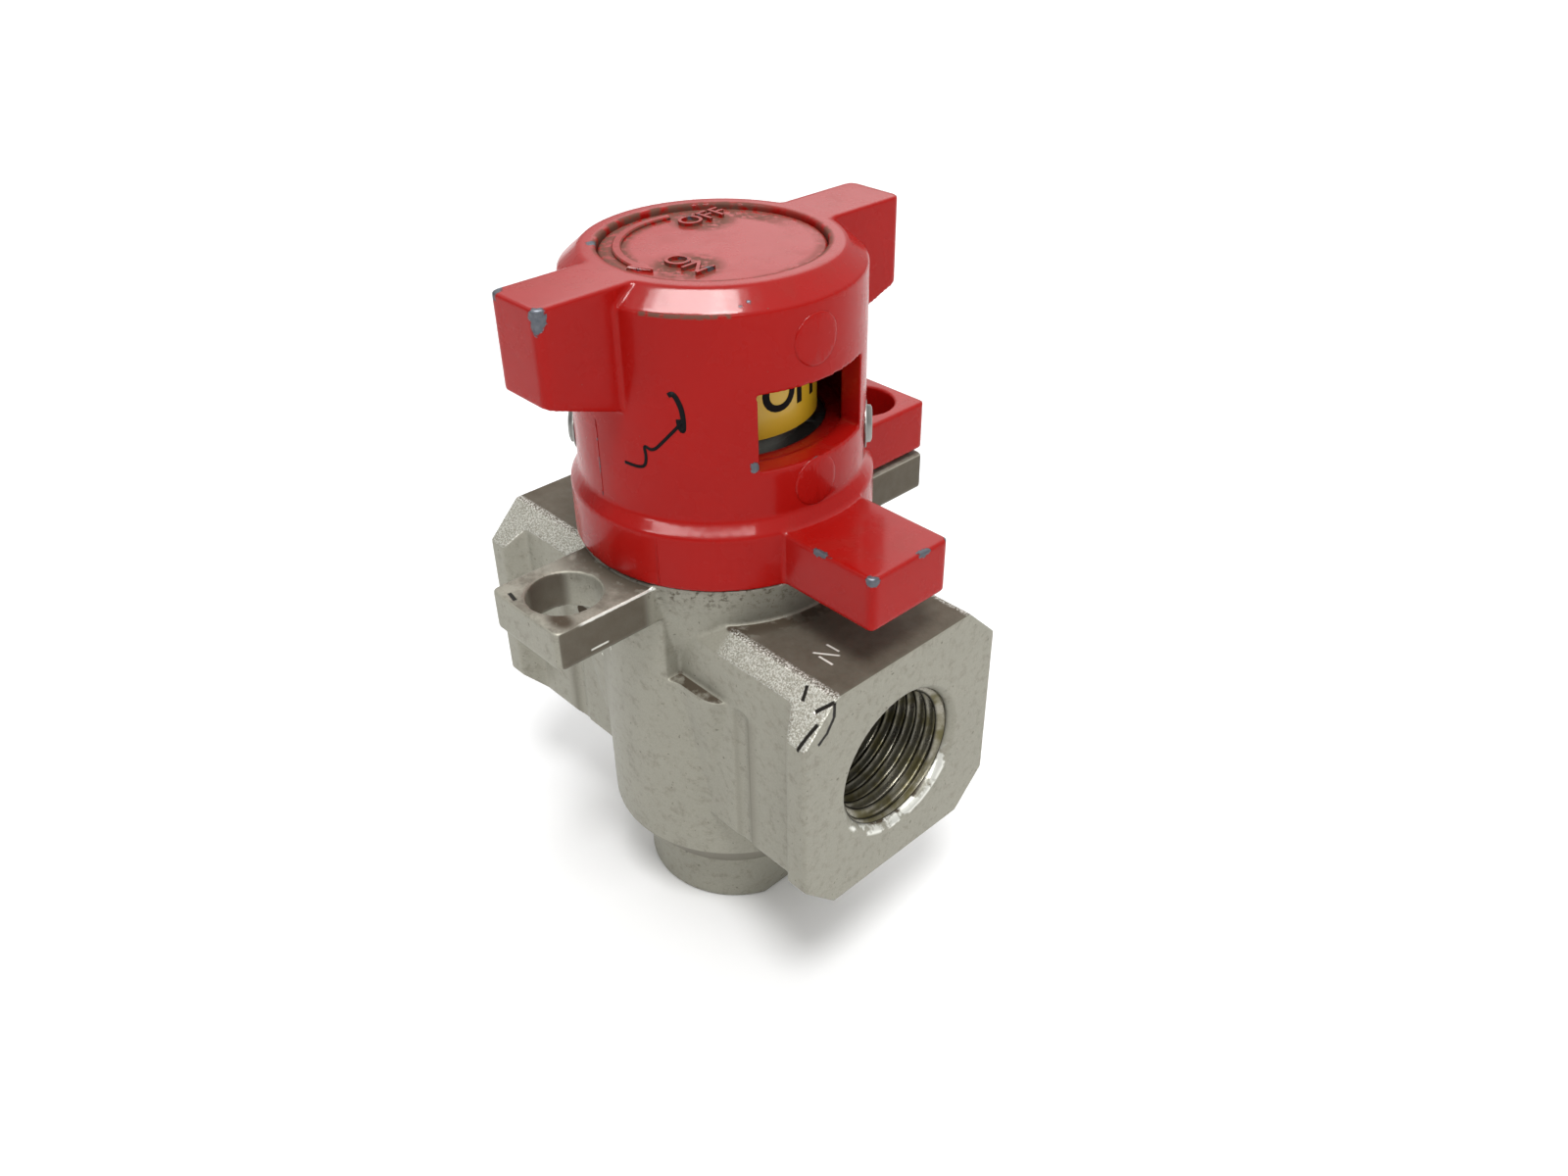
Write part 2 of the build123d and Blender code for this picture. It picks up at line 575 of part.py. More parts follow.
# ------------------------------------------------------------------ knob
with BuildPart() as knob:
    # barrel and collar
    with BuildSketch(Plane.XZ):
        with BuildLine():
            Polyline(
                (0, COLLAR_LOW_Z),
                (COLLAR_R, COLLAR_LOW_Z),
                (COLLAR_R, COLLAR_TOP_Z),
                (KNOB_R, BEVEL_TOP_Z),
                (KNOB_R, KNOB_EDGE_Z),
                (KNOB_TOP_R, KNOB_TOP_Z),
                (0, KNOB_TOP_Z),
                close=True,
            )
        make_face()
    revolve(axis=Axis.Z)
    # the two finger wings, their undersides rising towards the tips
    with BuildSketch(Plane.YZ):
        for side in (-1, 1):
            with BuildLine():
                Polyline(
                    (0, KNOB_TOP_Z),
                    (side * WING_REACH, KNOB_TOP_Z),
                    (side * WING_REACH, WING_TIP_LOW_Z),
                    (side * (KNOB_R - WING_OVERLAP), WING_ROOT_LOW_Z),
                    (0, WING_ROOT_LOW_Z),
                    close=True,
                )
            make_face()
    extrude(amount=WING_HALF_W, both=True)
    upright = knob.edges().filter_by(Axis.Z)
    fillet(upright.filter_by(lambda e: abs(e.center().Y) > WING_REACH - RELIEF), WING_TIP_R)
    # solid tab towards +X, holed tab towards +Y
    with BuildSketch(Plane.XY.offset(COLLAR_LOW_Z)) as solid_tab:
        with Locations((TAB_REACH_SOLID / 2, 0)):
            Rectangle(TAB_REACH_SOLID, 2 * TAB_HALF_W)
        fillet(solid_tab.vertices().group_by(Axis.X)[-1], TAB_CORNER_R)
    extrude(amount=COLLAR_TOP_Z - COLLAR_LOW_Z)
    with BuildSketch(Plane.XY.offset(COLLAR_LOW_Z)) as holed_tab:
        with Locations((0, TAB_REACH_HOLED / 2)):
            Rectangle(2 * TAB_HALF_W, TAB_REACH_HOLED)
        fillet(holed_tab.vertices().group_by(Axis.Y)[-1], TAB_CORNER_R)
    extrude(amount=COLLAR_TOP_Z - COLLAR_LOW_Z)
    # hollow: skirt bore, main bore with its ledge, crown opening and the recess of the cap disc
    with BuildSketch(Plane.XY.offset(COLLAR_LOW_Z)):
        Circle(SKIRT_BORE_R)
    extrude(amount=BEVEL_TOP_Z - COLLAR_LOW_Z, mode=Mode.SUBTRACT)
    with BuildSketch(Plane.XY.offset(BEVEL_TOP_Z)):
        Circle(KNOB_BORE_R)
    extrude(amount=LEDGE_LOW_Z - BEVEL_TOP_Z, mode=Mode.SUBTRACT)
    with BuildSketch(Plane.XY.offset(LEDGE_LOW_Z)):
        Circle(LEDGE_R)
    extrude(amount=LEDGE_TOP_Z - LEDGE_LOW_Z, mode=Mode.SUBTRACT)
    with BuildSketch(Plane.XY.offset(LEDGE_TOP_Z)):
        Circle(KNOB_BORE_R)
    extrude(amount=KNOB_WALL_Z - LEDGE_TOP_Z, mode=Mode.SUBTRACT)
    with BuildSketch(Plane.XY.offset(KNOB_WALL_Z)):
        Circle(CROWN_HOLE_R)
    extrude(amount=CAP_DISC_LOW_Z - KNOB_WALL_Z, mode=Mode.SUBTRACT)
    with BuildSketch(Plane.XY.offset(CAP_DISC_LOW_Z)):
        Circle(CAP_DISC_R)
    extrude(amount=KNOB_TOP_Z - CAP_DISC_LOW_Z, mode=Mode.SUBTRACT)
    # indicator window
    with BuildSketch(Plane.YZ) as window:
        with Locations((0, (WINDOW_LOW_Z + WINDOW_TOP_Z) / 2)):
            Rectangle(2 * WINDOW_HALF_W, WINDOW_TOP_Z - WINDOW_LOW_Z)
    extrude(amount=KNOB_R + 1.0, mode=Mode.SUBTRACT)
    # padlock hole
    with BuildSketch(Plane.XY.offset(COLLAR_LOW_Z)):
        with Locations((0, LOCK_Y)):
            Circle(LOCK_R)
    extrude(amount=COLLAR_TOP_Z - COLLAR_LOW_Z, mode=Mode.SUBTRACT)
    # clearance holes for the two side screws
    with BuildSketch(Plane(origin=(0, 0, SIDE_SCREW_Z), z_dir=(1, 1, 0))):
        Circle(SCREW_R + FIT)
    extrude(amount=KNOB_R + 1.0, both=True, mode=Mode.SUBTRACT)
    # flat spots under the screw heads
    for side in (-1, 1):
        with BuildSketch(Plane(origin=(0, 0, SIDE_SCREW_Z), z_dir=(side, side, 0)).offset(SPOT_R)):
            Circle(SIDE_HEAD_R + 2 * FIT)
        extrude(amount=COLLAR_R - SPOT_R, mode=Mode.SUBTRACT)
knob.part.label = "knob"
export_step(knob.part, "parts/knob.step")

with BuildPart() as knob_cap:
    with BuildSketch(Plane.XY.offset(CAP_DISC_LOW_Z)):
        Circle(CAP_DISC_R - 2 * FIT)
    extrude(amount=CAP_DISC_TOP_Z - CAP_DISC_LOW_Z)
    chamfer(knob_cap.faces().sort_by(Axis.Z)[-1].edges(), CAP_DISC_BEVEL)
    with BuildSketch(Plane.XY.offset(CAP_DISC_LOW_Z)):
        Circle(CROWN_HOLE_R - 2 * FIT)
    extrude(amount=-CAP_PLUG_H)
knob_cap.part.label = "knob_cap"
export_step(knob_cap.part, "parts/knob_cap.step")

with BuildPart() as knob_screws:
    for angle in (SIDE_SCREW_DEG, SIDE_SCREW_DEG + 180):
        outward = Vector(math.cos(math.radians(angle)), math.sin(math.radians(angle)), 0)
        with BuildSketch(Plane(outward * SPOT_R + Vector(0, 0, SIDE_SCREW_Z), z_dir=outward)):
            Circle(SIDE_HEAD_R)
        extrude(amount=SIDE_HEAD_T)
        with BuildSketch(Plane(outward * SPOT_R + Vector(0, 0, SIDE_SCREW_Z), z_dir=outward)):
            Circle(SCREW_R)
        extrude(amount=-(SPOT_R - CAM_R - 2 * RELIEF))
knob_screws.part.label = "knob_screws"
export_step(knob_screws.part, "parts/knob_screws.step")
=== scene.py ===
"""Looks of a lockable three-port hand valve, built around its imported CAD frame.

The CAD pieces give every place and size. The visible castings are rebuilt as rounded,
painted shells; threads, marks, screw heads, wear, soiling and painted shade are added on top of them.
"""

import contextlib
import enum
import json
import logging
import math
from collections.abc import Callable, Iterable, Iterator, Sequence
from dataclasses import dataclass, field

import bmesh
import bpy
from mathutils import Matrix, Vector


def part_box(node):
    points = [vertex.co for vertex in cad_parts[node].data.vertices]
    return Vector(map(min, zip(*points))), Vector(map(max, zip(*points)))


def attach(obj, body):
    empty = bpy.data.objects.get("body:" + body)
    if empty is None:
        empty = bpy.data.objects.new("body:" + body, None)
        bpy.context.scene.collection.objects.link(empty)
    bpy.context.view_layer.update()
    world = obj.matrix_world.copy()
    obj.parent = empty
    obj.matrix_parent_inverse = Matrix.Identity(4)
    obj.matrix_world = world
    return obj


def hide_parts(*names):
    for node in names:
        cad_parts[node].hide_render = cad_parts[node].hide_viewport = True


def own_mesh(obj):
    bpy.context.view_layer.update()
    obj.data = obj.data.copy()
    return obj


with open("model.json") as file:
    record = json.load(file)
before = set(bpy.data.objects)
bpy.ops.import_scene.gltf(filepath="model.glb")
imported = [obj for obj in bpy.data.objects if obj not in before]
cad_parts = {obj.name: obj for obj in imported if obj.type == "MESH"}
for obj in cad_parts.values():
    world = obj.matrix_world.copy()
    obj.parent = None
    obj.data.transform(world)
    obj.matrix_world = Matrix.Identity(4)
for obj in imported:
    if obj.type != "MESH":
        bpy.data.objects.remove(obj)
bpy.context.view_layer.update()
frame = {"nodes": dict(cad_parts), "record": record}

LOG = logging.getLogger("valve")
MM = 0.001
PORT_PITCH = 1.814 * MM     # half-inch pipe thread
THREAD_DEPTH = 1.16 * MM
Point = tuple[float, float, float]
Colour = tuple[float, float, float]


# ---------------------------------------------------------------------------
# Shader graph
# ---------------------------------------------------------------------------
class Field:
    """One shader value that can be used in ordinary Python expressions."""

    def __init__(self, graph: "Graph", socket: bpy.types.NodeSocket) -> None:
        """Wraps a socket of the graph."""
        self.graph = graph
        self.socket = socket

    def _with(self, operation: str, *others: "Field | float") -> "Field":
        """A Math node of this value and the others."""
        return self.graph.node("ShaderNodeMath", {"operation": operation}, [self, *others])

    def __add__(self, other: "Field | float") -> "Field":
        """Sum."""
        return self._with("ADD", other)

    __radd__ = __add__

    def __sub__(self, other: "Field | float") -> "Field":
        """Difference."""
        return self._with("SUBTRACT", other)

    def __rsub__(self, other: float) -> "Field":
        """Reflected difference."""
        return self.graph.node("ShaderNodeMath", {"operation": "SUBTRACT"}, [other, self])

    def __mul__(self, other: "Field | float") -> "Field":
        """Product."""
        return self._with("MULTIPLY", other)

    __rmul__ = __mul__

    def __abs__(self) -> "Field":
        """Size without sign."""
        return self._with("ABSOLUTE")

    def low(self, other: "Field | float") -> "Field":
        """The smaller of two values."""
        return self._with("MINIMUM", other)

    def high(self, other: "Field | float") -> "Field":
        """The larger of two values."""
        return self._with("MAXIMUM", other)

    def step(self, start: float, end: float) -> "Field":
        """A smooth rise from 0 at start to 1 at end.

        Args:
            start: the value where the result is 0.
            end: the value where the result is 1; it may be below start.

        Returns:
            The eased and clamped result.
        """
        settings = {"interpolation_type": "SMOOTHSTEP", "clamp": True}
        values = [self, start, end, 0.0, 1.0] if start <= end else [self, end, start, 1.0, 0.0]
        return self.graph.node("ShaderNodeMapRange", settings, values)


class Graph:
    """Builds one material's node tree."""

    def __init__(self, name: str) -> None:
        """Starts a material that holds one Principled shader.

        Args:
            name: the material's name.
        """
        self.material = bpy.data.materials.new(name)
        self.material.use_nodes = True
        self.tree = self.material.node_tree
        self.shader = self.tree.nodes["Principled BSDF"]
        self.place = self.node("ShaderNodeTexCoord", {}, {}, "Object")

    def node(
        self,
        kind: str,
        settings: dict[str, object],
        values: "dict[int | str, object] | Sequence[object]",
        output: "int | str" = 0,
    ) -> Field:
        """Adds a node.

        Args:
            kind: the node's type name.
            settings: the node's attributes.
            values: socket values or links, by index or name, or in order.
            output: which output to return.

        Returns:
            The chosen output.
        """
        made = self.tree.nodes.new(kind)
        for key, value in settings.items():
            setattr(made, key, value)
        pairs = values.items() if isinstance(values, dict) else enumerate(values)
        for key, value in pairs:
            if isinstance(value, Field):
                self.tree.links.new(value.socket, made.inputs[key])
            else:
                made.inputs[key].default_value = value
        return Field(self, made.outputs[output])

    def noise(self, size: float, detail: float = 3.0, roughness: float = 0.55, seed: float = 0.0) -> Field:
        """Smooth noise from 0 to 1.

        Args:
            size: width of one blotch, in metres.
            detail: octaves.
            roughness: weight of the fine octaves.
            seed: moves the pattern.

        Returns:
            The noise value.
        """
        moved = self.node("ShaderNodeVectorMath", {"operation": "ADD"}, [self.place, (seed, -seed, 2 * seed)])
        values = {"Vector": moved, "Scale": 1.0 / size, "Detail": detail, "Roughness": roughness}
        return self.node("ShaderNodeTexNoise", {"noise_dimensions": "3D"}, values, "Fac")

    def axis(self, letter: str) -> Field:
        """The place along one axis of the valve, in metres."""
        return self.node("ShaderNodeSeparateXYZ", {}, [self.place], letter)

    def facing(self, letter: str) -> Field:
        """The surface normal's share along one axis, from -1 to 1."""
        normal = self.node("ShaderNodeTexCoord", {}, {}, "Normal")
        return self.node("ShaderNodeSeparateXYZ", {}, [normal], letter)

    def radius(self) -> Field:
        """Distance from the knob's axis, in metres."""
        flat = self.node("ShaderNodeVectorMath", {"operation": "MULTIPLY"}, [self.place, (1.0, 1.0, 0.0)])
        return self.node("ShaderNodeVectorMath", {"operation": "LENGTH"}, [flat], "Value")

    def pointed(self) -> Field:
        """How much the surface bulges: 0.5 is flat, more is an edge, less is a corner of a hollow."""
        return self.node("ShaderNodeNewGeometry", {}, {}, "Pointiness")

    def distance_to(self, centre: Vector, stretch: Point = (1.0, 1.0, 1.0)) -> Field:
        """Distance to a point, in metres, measured in a stretched space.

        Args:
            centre: the point.
            stretch: how much each axis counts.

        Returns:
            The distance.
        """
        away = self.node("ShaderNodeVectorMath", {"operation": "SUBTRACT"}, [self.place, tuple(centre)])
        scaled = self.node("ShaderNodeVectorMath", {"operation": "MULTIPLY"}, [away, stretch])
        return self.node("ShaderNodeVectorMath", {"operation": "LENGTH"}, [scaled], "Value")

    def stroke(self, mark: "Stroke") -> Field:
        """A mask that is 1 along a straight mark and fades at its ends.

        Args:
            mark: the mark, in the valve's frame.

        Returns:
            The mask, from 0 to 1.
        """
        middle = (mark.start + mark.end) / 2
        whole = mark.end - mark.start
        run_length = whole.length
        along = tuple(whole.normalized())
        away = self.node("ShaderNodeVectorMath", {"operation": "SUBTRACT"}, [self.place, tuple(middle)])
        run = self.node("ShaderNodeVectorMath", {"operation": "DOT_PRODUCT"}, [away, along], "Value")
        far = self.node("ShaderNodeVectorMath", {"operation": "LENGTH"}, [away], "Value")
        aside = (far * far - run * run).high(0.0)
        width = mark.half_width * mark.half_width
        ragged = aside * (0.35 + 1.3 * self.noise(0.9 * MM, 4.0, 0.6, seed=41.0))
        return ragged.step(width, 0.3 * width) * abs(run).step(0.5 * run_length, 0.4 * run_length)

    def mix(self, share: Field, first: "Field | Colour", second: "Field | Colour") -> Field:
        """A colour between two colours.

        Args:
            share: how much of the second colour.
            first: a colour.
            second: a colour.

        Returns:
            The colour.
        """
        values: dict[int | str, object] = {0: share}
        for slot, colour in ((6, first), (7, second)):
            values[slot] = colour if isinstance(colour, Field) else (*colour, 1.0)
        return self.node("ShaderNodeMix", {"data_type": "RGBA"}, values, 2)

    def set(self, **values: "Field | float | Colour") -> None:
        """Sets the shader's sockets; a name's underscores stand for spaces.

        Args:
            values: socket names and their values.
        """
        for name, value in values.items():
            socket = self.shader.inputs[name.replace("_", " ")]
            if isinstance(value, Field):
                self.tree.links.new(value.socket, socket)
            elif isinstance(value, tuple) and len(value) == 3 and socket.type == "RGBA":
                socket.default_value = (*value, 1.0)
            else:
                socket.default_value = value

    def bump(self, *layers: "tuple[Field, float]") -> None:
        """Stacks bump layers on the shader's normal.

        Args:
            layers: (height from 0 to 1, depth in metres) pairs.
        """
        normal: Field | None = None
        for height, depth in layers:
            values: dict[int | str, object] = {"Strength": 1.0, "Distance": depth, "Height": height}
            if normal is not None:
                values["Normal"] = normal
            normal = self.node("ShaderNodeBump", {}, values)
        if normal is not None:
            self.set(Normal=normal)


# ---------------------------------------------------------------------------
# Finishes
# ---------------------------------------------------------------------------
@dataclass(frozen=True)
class Chip:
    """A spot where paint is knocked off down to bare metal."""

    centre: Vector
    radius: float
    stretch: Point = (1.0, 1.0, 1.0)


@dataclass(frozen=True)
class Stroke:
    """A straight mark on a surface: a scratch, the painted shade of a dent or a line of wear."""

    start: Vector
    end: Vector
    half_width: float = 0.2 * MM


class Coating:
    """A finish that dresses a material of its own."""

    def dress(self, graph: Graph) -> None:
        """Fills the material's graph; each finish does this its own way."""
        raise NotImplementedError

    def build(self, name: str) -> bpy.types.Material:
        """Makes the material.

        Args:
            name: the material's name.

        Returns:
            The material.
        """
        graph = Graph(name)
        self.dress(graph)
        return graph.material


@dataclass(frozen=True)
class RedPaint(Coating):
    """Thick glossy red paint over a zinc casting, chipped and dirty, with painted shade in its hollows."""

    chips: tuple[Chip, ...] = ()
    wear: tuple[Stroke, ...] = ()
    soil_and_shade: Callable[[Graph], Field] | None = None
    colour: Colour = (0.375, 0.0065, 0.0045)
    bare: Colour = (0.045, 0.050, 0.062)
    # Colour of the soiling, and of the painted shade in the hollows.
    dirt_and_shade_colour: Colour = (0.115, 0.070, 0.048)

    def dress(self, graph: Graph) -> None:
        """Fills the material's graph.

        Args:
            graph: the material's graph.
        """
        ragged = (graph.noise(0.7 * MM, 5.0, 0.65) - 0.5) * (1.8 * MM)
        bare = graph.pointed().step(0.56, 0.60) * graph.noise(2.4 * MM, 4.0, seed=3.0).step(0.59, 0.65)
        for chip in self.chips:
            near = graph.distance_to(chip.centre, chip.stretch) + ragged
            bare = bare.high(near.step(chip.radius, 0.85 * chip.radius))
        tint = graph.noise(14 * MM, 2.0)
        paint = graph.mix(tint, self.colour, tuple(0.86 * c for c in self.colour))
        # Soiling and painted shade in the hollows: darker where the surface curves inwards, broken up by
        # noise.
        hollow_soiling_and_shade = graph.pointed().step(0.478, 0.445) * graph.noise(2.2 * MM, 3.0, seed=1.0).step(0.30, 0.62)
        upward = graph.facing("Z").step(0.15, 0.80)
        film = upward * graph.noise(4.0 * MM, 5.0, seed=5.0).step(0.45, 0.75) * 0.12
        specks = graph.noise(0.6 * MM, 2.0, seed=7.0).step(0.76, 0.80) * 0.6
        soil_and_shade = hollow_soiling_and_shade.high(film).high(specks)
        broken = graph.noise(1.4 * MM, 4.0, seed=15.0).step(0.36, 0.50)
        for mark in self.wear:
            soil_and_shade = soil_and_shade.high(graph.stroke(mark) * broken)
        if self.soil_and_shade is not None:
            soil_and_shade = soil_and_shade.high(self.soil_and_shade(graph))
        painted = graph.mix(soil_and_shade * 0.85, paint, self.dirt_and_shade_colour)
        metal = graph.mix(graph.noise(0.6 * MM, 3.0, seed=2.0), self.bare, (0.17, 0.18, 0.20))
        graph.set(Base_Color=graph.mix(bare, painted, metal))
        smears = graph.noise(5.0 * MM, 4.0, seed=9.0)
        rough = 0.24 + smears.step(0.35, 0.8) * 0.08 + soil_and_shade * 0.35
        graph.set(Roughness=rough + bare * 0.12)
        graph.set(Metallic=bare * 0.6)
        graph.set(Coat_Weight=(1.0 - bare) * (1.0 - soil_and_shade) * (0.12 + upward * 0.20))
        graph.set(Coat_Roughness=0.10, Specular_IOR_Level=0.08)
        peel = graph.noise(1.6 * MM, 2.0, seed=11.0)
        graph.bump((peel, 0.028 * MM), (1.0 - bare, 0.10 * MM), (graph.noise(7 * MM, 1.0), 0.05 * MM))


@dataclass(frozen=True)
class DieCast(Coating):
    """Satin silver-grey paint on a die casting, with brown soiling on its ledges and painted shade in its
    hollows and dents.
    """

    colour: Colour = (0.315, 0.305, 0.252)
    # Colour of the soiling, and of the painted shade.
    dirt_and_shade_colour: Colour = (0.072, 0.055, 0.037)
    bright: Colour = (0.74, 0.74, 0.68)
    # Colour of the painted shade in dents.
    dent_shade_colour: Colour = (0.015, 0.013, 0.010)
    sparkle: Callable[[Graph], Field] | None = None
    polish: Callable[[Graph], Field] | None = None
    # Extra soiling and painted shade, given by the piece that wears the finish.
    soil_and_shade: Callable[[Graph], Field] | None = None
    scratches: tuple[Stroke, ...] = ()
    shaded_dents: tuple[Stroke, ...] = ()

    def dress(self, graph: Graph) -> None:
        """Fills the material's graph.

        Args:
            graph: the material's graph.
        """
        cloud = graph.noise(9 * MM, 3.0)
        fine = graph.noise(0.30 * MM, 4.0, 0.7, seed=2.0)
        base = graph.mix(cloud, self.colour, tuple(0.86 * c for c in self.colour))
        base = graph.mix(fine.step(0.35, 0.75) * 0.35, base, tuple(1.22 * c for c in self.colour))
        upward = graph.facing("Z").step(0.80, 0.95)
        blotch = graph.noise(3.2 * MM, 5.0, 0.65, seed=4.0)
        # Blotchy soiling on faces that look up, and painted shade in the hollows, darker where the surface
        # curves inwards.
        soil_and_shade = (upward * blotch.step(0.36, 0.66) * 0.6).high(graph.pointed().step(0.475, 0.44) * 0.8)
        if self.soil_and_shade is not None:
            soil_and_shade = soil_and_shade.high(self.soil_and_shade(graph))
        mottle = graph.noise(1.5 * MM, 5.0, 0.7, seed=16.0).step(0.48, 0.72) * 0.30
        pits = graph.noise(0.8 * MM, 2.0, seed=6.0).step(0.68, 0.74) * 0.55
        pits = pits.high(mottle)
        base = graph.mix(soil_and_shade.high(pits).low(1.0), base, self.dirt_and_shade_colour)
        shine = graph.pointed().step(0.545, 0.585) * graph.noise(1.2 * MM, 4.0, seed=8.0).step(0.42, 0.60)
        if self.sparkle is not None:
            speck = graph.noise(0.24 * MM, 2.0, 0.6, seed=12.0).step(0.40, 0.66)
            shine = shine.high(self.sparkle(graph) * speck * 0.75)
        if self.polish is not None:
            shine = shine.high(self.polish(graph))
        for mark in self.scratches:
            shine = shine.high(graph.stroke(mark))
        base = graph.mix(shine, base, self.bright)
        # Painted shade of dents: a dark colour along the dent marks; the bump's last layer gives their depth.
        split: Field | float = 0.0
        for mark in self.shaded_dents:
            split = graph.stroke(mark).high(split)
        if isinstance(split, Field):
            base = graph.mix(split, base, self.dent_shade_colour)
        graph.set(Base_Color=base)
        graph.set(Metallic=0.30 + shine * 0.45 - (soil_and_shade * 0.40).low(0.30))
        graph.set(Roughness=0.46 + soil_and_shade * 0.3 - shine * 0.16)
        graph.set(Specular_IOR_Level=0.14)
        graph.bump(
            (fine, 0.02 * MM),
            (graph.noise(2.0 * MM, 3.0, seed=14.0), 0.05 * MM),
            (1.0 - split, 0.15 * MM),
        )


@dataclass(frozen=True)
class Plain(Coating):
    """A simple machined or moulded finish with fine variation."""

    colour: Colour
    metallic: float = 0.0
    roughness: float = 0.5
    grain: float = 0.8 * MM
    depth: float = 0.01 * MM
    coat: float = 0.0
    specular: float = 0.5

    def dress(self, graph: Graph) -> None:
        """Fills the material's graph.

        Args:
            graph: the material's graph.
        """
        fine = graph.noise(self.grain, 3.0)
        broad = graph.noise(5 * self.grain, 3.0, seed=3.0)
        colour = graph.mix(broad, self.colour, tuple(0.78 * c for c in self.colour))
        # Painted shade in the hollows, darker where the surface curves inwards.
        curvature_shade = graph.pointed().step(0.48, 0.44)
        graph.set(Base_Color=graph.mix(curvature_shade * 0.6, colour, (0.05, 0.04, 0.03)))
        graph.set(Roughness=self.roughness - 0.06 + fine * 0.12, Metallic=self.metallic)
        graph.set(Coat_Weight=self.coat, Specular_IOR_Level=self.specular)
        graph.bump((fine, self.depth))


class Finish(enum.Enum):
    """The plain finishes that more than one piece wears."""

    STEEL = Plain((0.56, 0.56, 0.57), 1.0, 0.28)
    DARK_STEEL = Plain((0.055, 0.055, 0.06), 0.7, 0.42)
    ZINC = Plain((0.33, 0.33, 0.31), 0.9, 0.36)
    BRASS = Plain((0.60, 0.42, 0.18), 1.0, 0.30)
    RUBBER = Plain((0.018, 0.018, 0.018), 0.0, 0.62)
    RESIN = Plain((0.014, 0.013, 0.012), 0.0, 0.55, 1.2 * MM, 0.03 * MM, specular=0.2)
    INK = Plain((0.005, 0.005, 0.006), 0.0, 0.55, specular=0.08)
    YELLOW_FILM = Plain((0.72, 0.47, 0.02), 0.0, 0.35, 2.5 * MM, 0.008 * MM, 0.2)
    GREEN_FILM = Plain((0.03, 0.26, 0.11), 0.0, 0.32, 2.5 * MM, 0.008 * MM, 0.3)

    def material(self) -> bpy.types.Material:
        """The finish's one shared material."""
        name = self.name.lower()
        return bpy.data.materials.get(name) or self.value.build(name)


# ---------------------------------------------------------------------------
# Mesh helpers
# ---------------------------------------------------------------------------
def add_piece(name: str, mesh: bpy.types.Mesh, material: bpy.types.Material) -> bpy.types.Object:
    """Puts a mesh into the scene as a smooth-shaded piece.

    Args:
        name: the piece's name.
        mesh: its mesh, in the valve's frame.
        material: its only material.

    Returns:
        The new object.
    """
    mesh.materials.clear()
    mesh.materials.append(material)
    mesh.shade_smooth()
    piece = bpy.data.objects.new(name, mesh)
    bpy.context.scene.collection.objects.link(piece)
    return piece


@contextlib.contextmanager
def edited(mesh: bpy.types.Mesh) -> Iterator[bmesh.types.BMesh]:
    """Opens a mesh for editing and writes it back.

    Args:
        mesh: the mesh to change.

    Yields:
        The open mesh.
    """
    shape = bmesh.new()
    shape.from_mesh(mesh)
    yield shape
    shape.to_mesh(mesh)
    shape.free()


def bake_modifiers(piece: bpy.types.Object) -> None:
    """Replaces a piece's mesh with its modified one.

    Args:
        piece: the piece, whose modifiers go.
    """
    bpy.context.view_layer.update()
    shape = piece.evaluated_get(bpy.context.evaluated_depsgraph_get())
    mesh = bpy.data.meshes.new_from_object(shape)
    piece.modifiers.clear()
    piece.data = mesh
    mesh.shade_smooth()


def rounded_copy(
    node: str, name: str, material: bpy.types.Material, voxel: float, relax: int
) -> bpy.types.Object:
    """A copy of a CAD node whose sharp edges are rounded as on a painted casting.

    Args:
        node: the CAD node to copy and stand for.
        name: the new piece's name.
        material: its finish.
        voxel: the grid size of the new surface, in metres.
        relax: smoothing rounds; more make rounder edges.

    Returns:
        The finished piece.
    """
    piece = add_piece(name, frame["nodes"][node].data.copy(), material)
    with edited(piece.data) as shell:
        bmesh.ops.remove_doubles(shell, verts=shell.verts, dist=1e-6)
    remesh = piece.modifiers.new("grid", "REMESH")
    remesh.mode = "VOXEL"
    remesh.voxel_size = voxel
    remesh.adaptivity = 0.0
    smooth = piece.modifiers.new("relax", "SMOOTH")
    smooth.factor = 0.5
    smooth.iterations = relax
    bake_modifiers(piece)
    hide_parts(node)
    LOG.info("%s stands for %s with %d faces", name, node, len(piece.data.polygons))
    return piece


def grid_mesh(
    name: str, rows: Sequence[Sequence[Vector]], loop_rows: bool, loop_columns: bool
) -> bpy.types.Mesh:
    """A mesh over a grid of points.

    Args:
        name: the mesh's name.
        rows: equally long rows of points.
        loop_rows: whether the last row joins the first.
        loop_columns: whether each row is a ring.

    Returns:
        The mesh.
    """
    count, width = len(rows), len(rows[0])
    faces = []
    for i in range(count if loop_rows else count - 1):
        for j in range(width if loop_columns else width - 1):
            k = (i + 1) % count
            m = (j + 1) % width
            faces.append((i * width + j, i * width + m, k * width + m, k * width + j))
    mesh = bpy.data.meshes.new(name)
    mesh.from_pydata([p for row in rows for p in row], [], faces)
    mesh.validate()
    return mesh


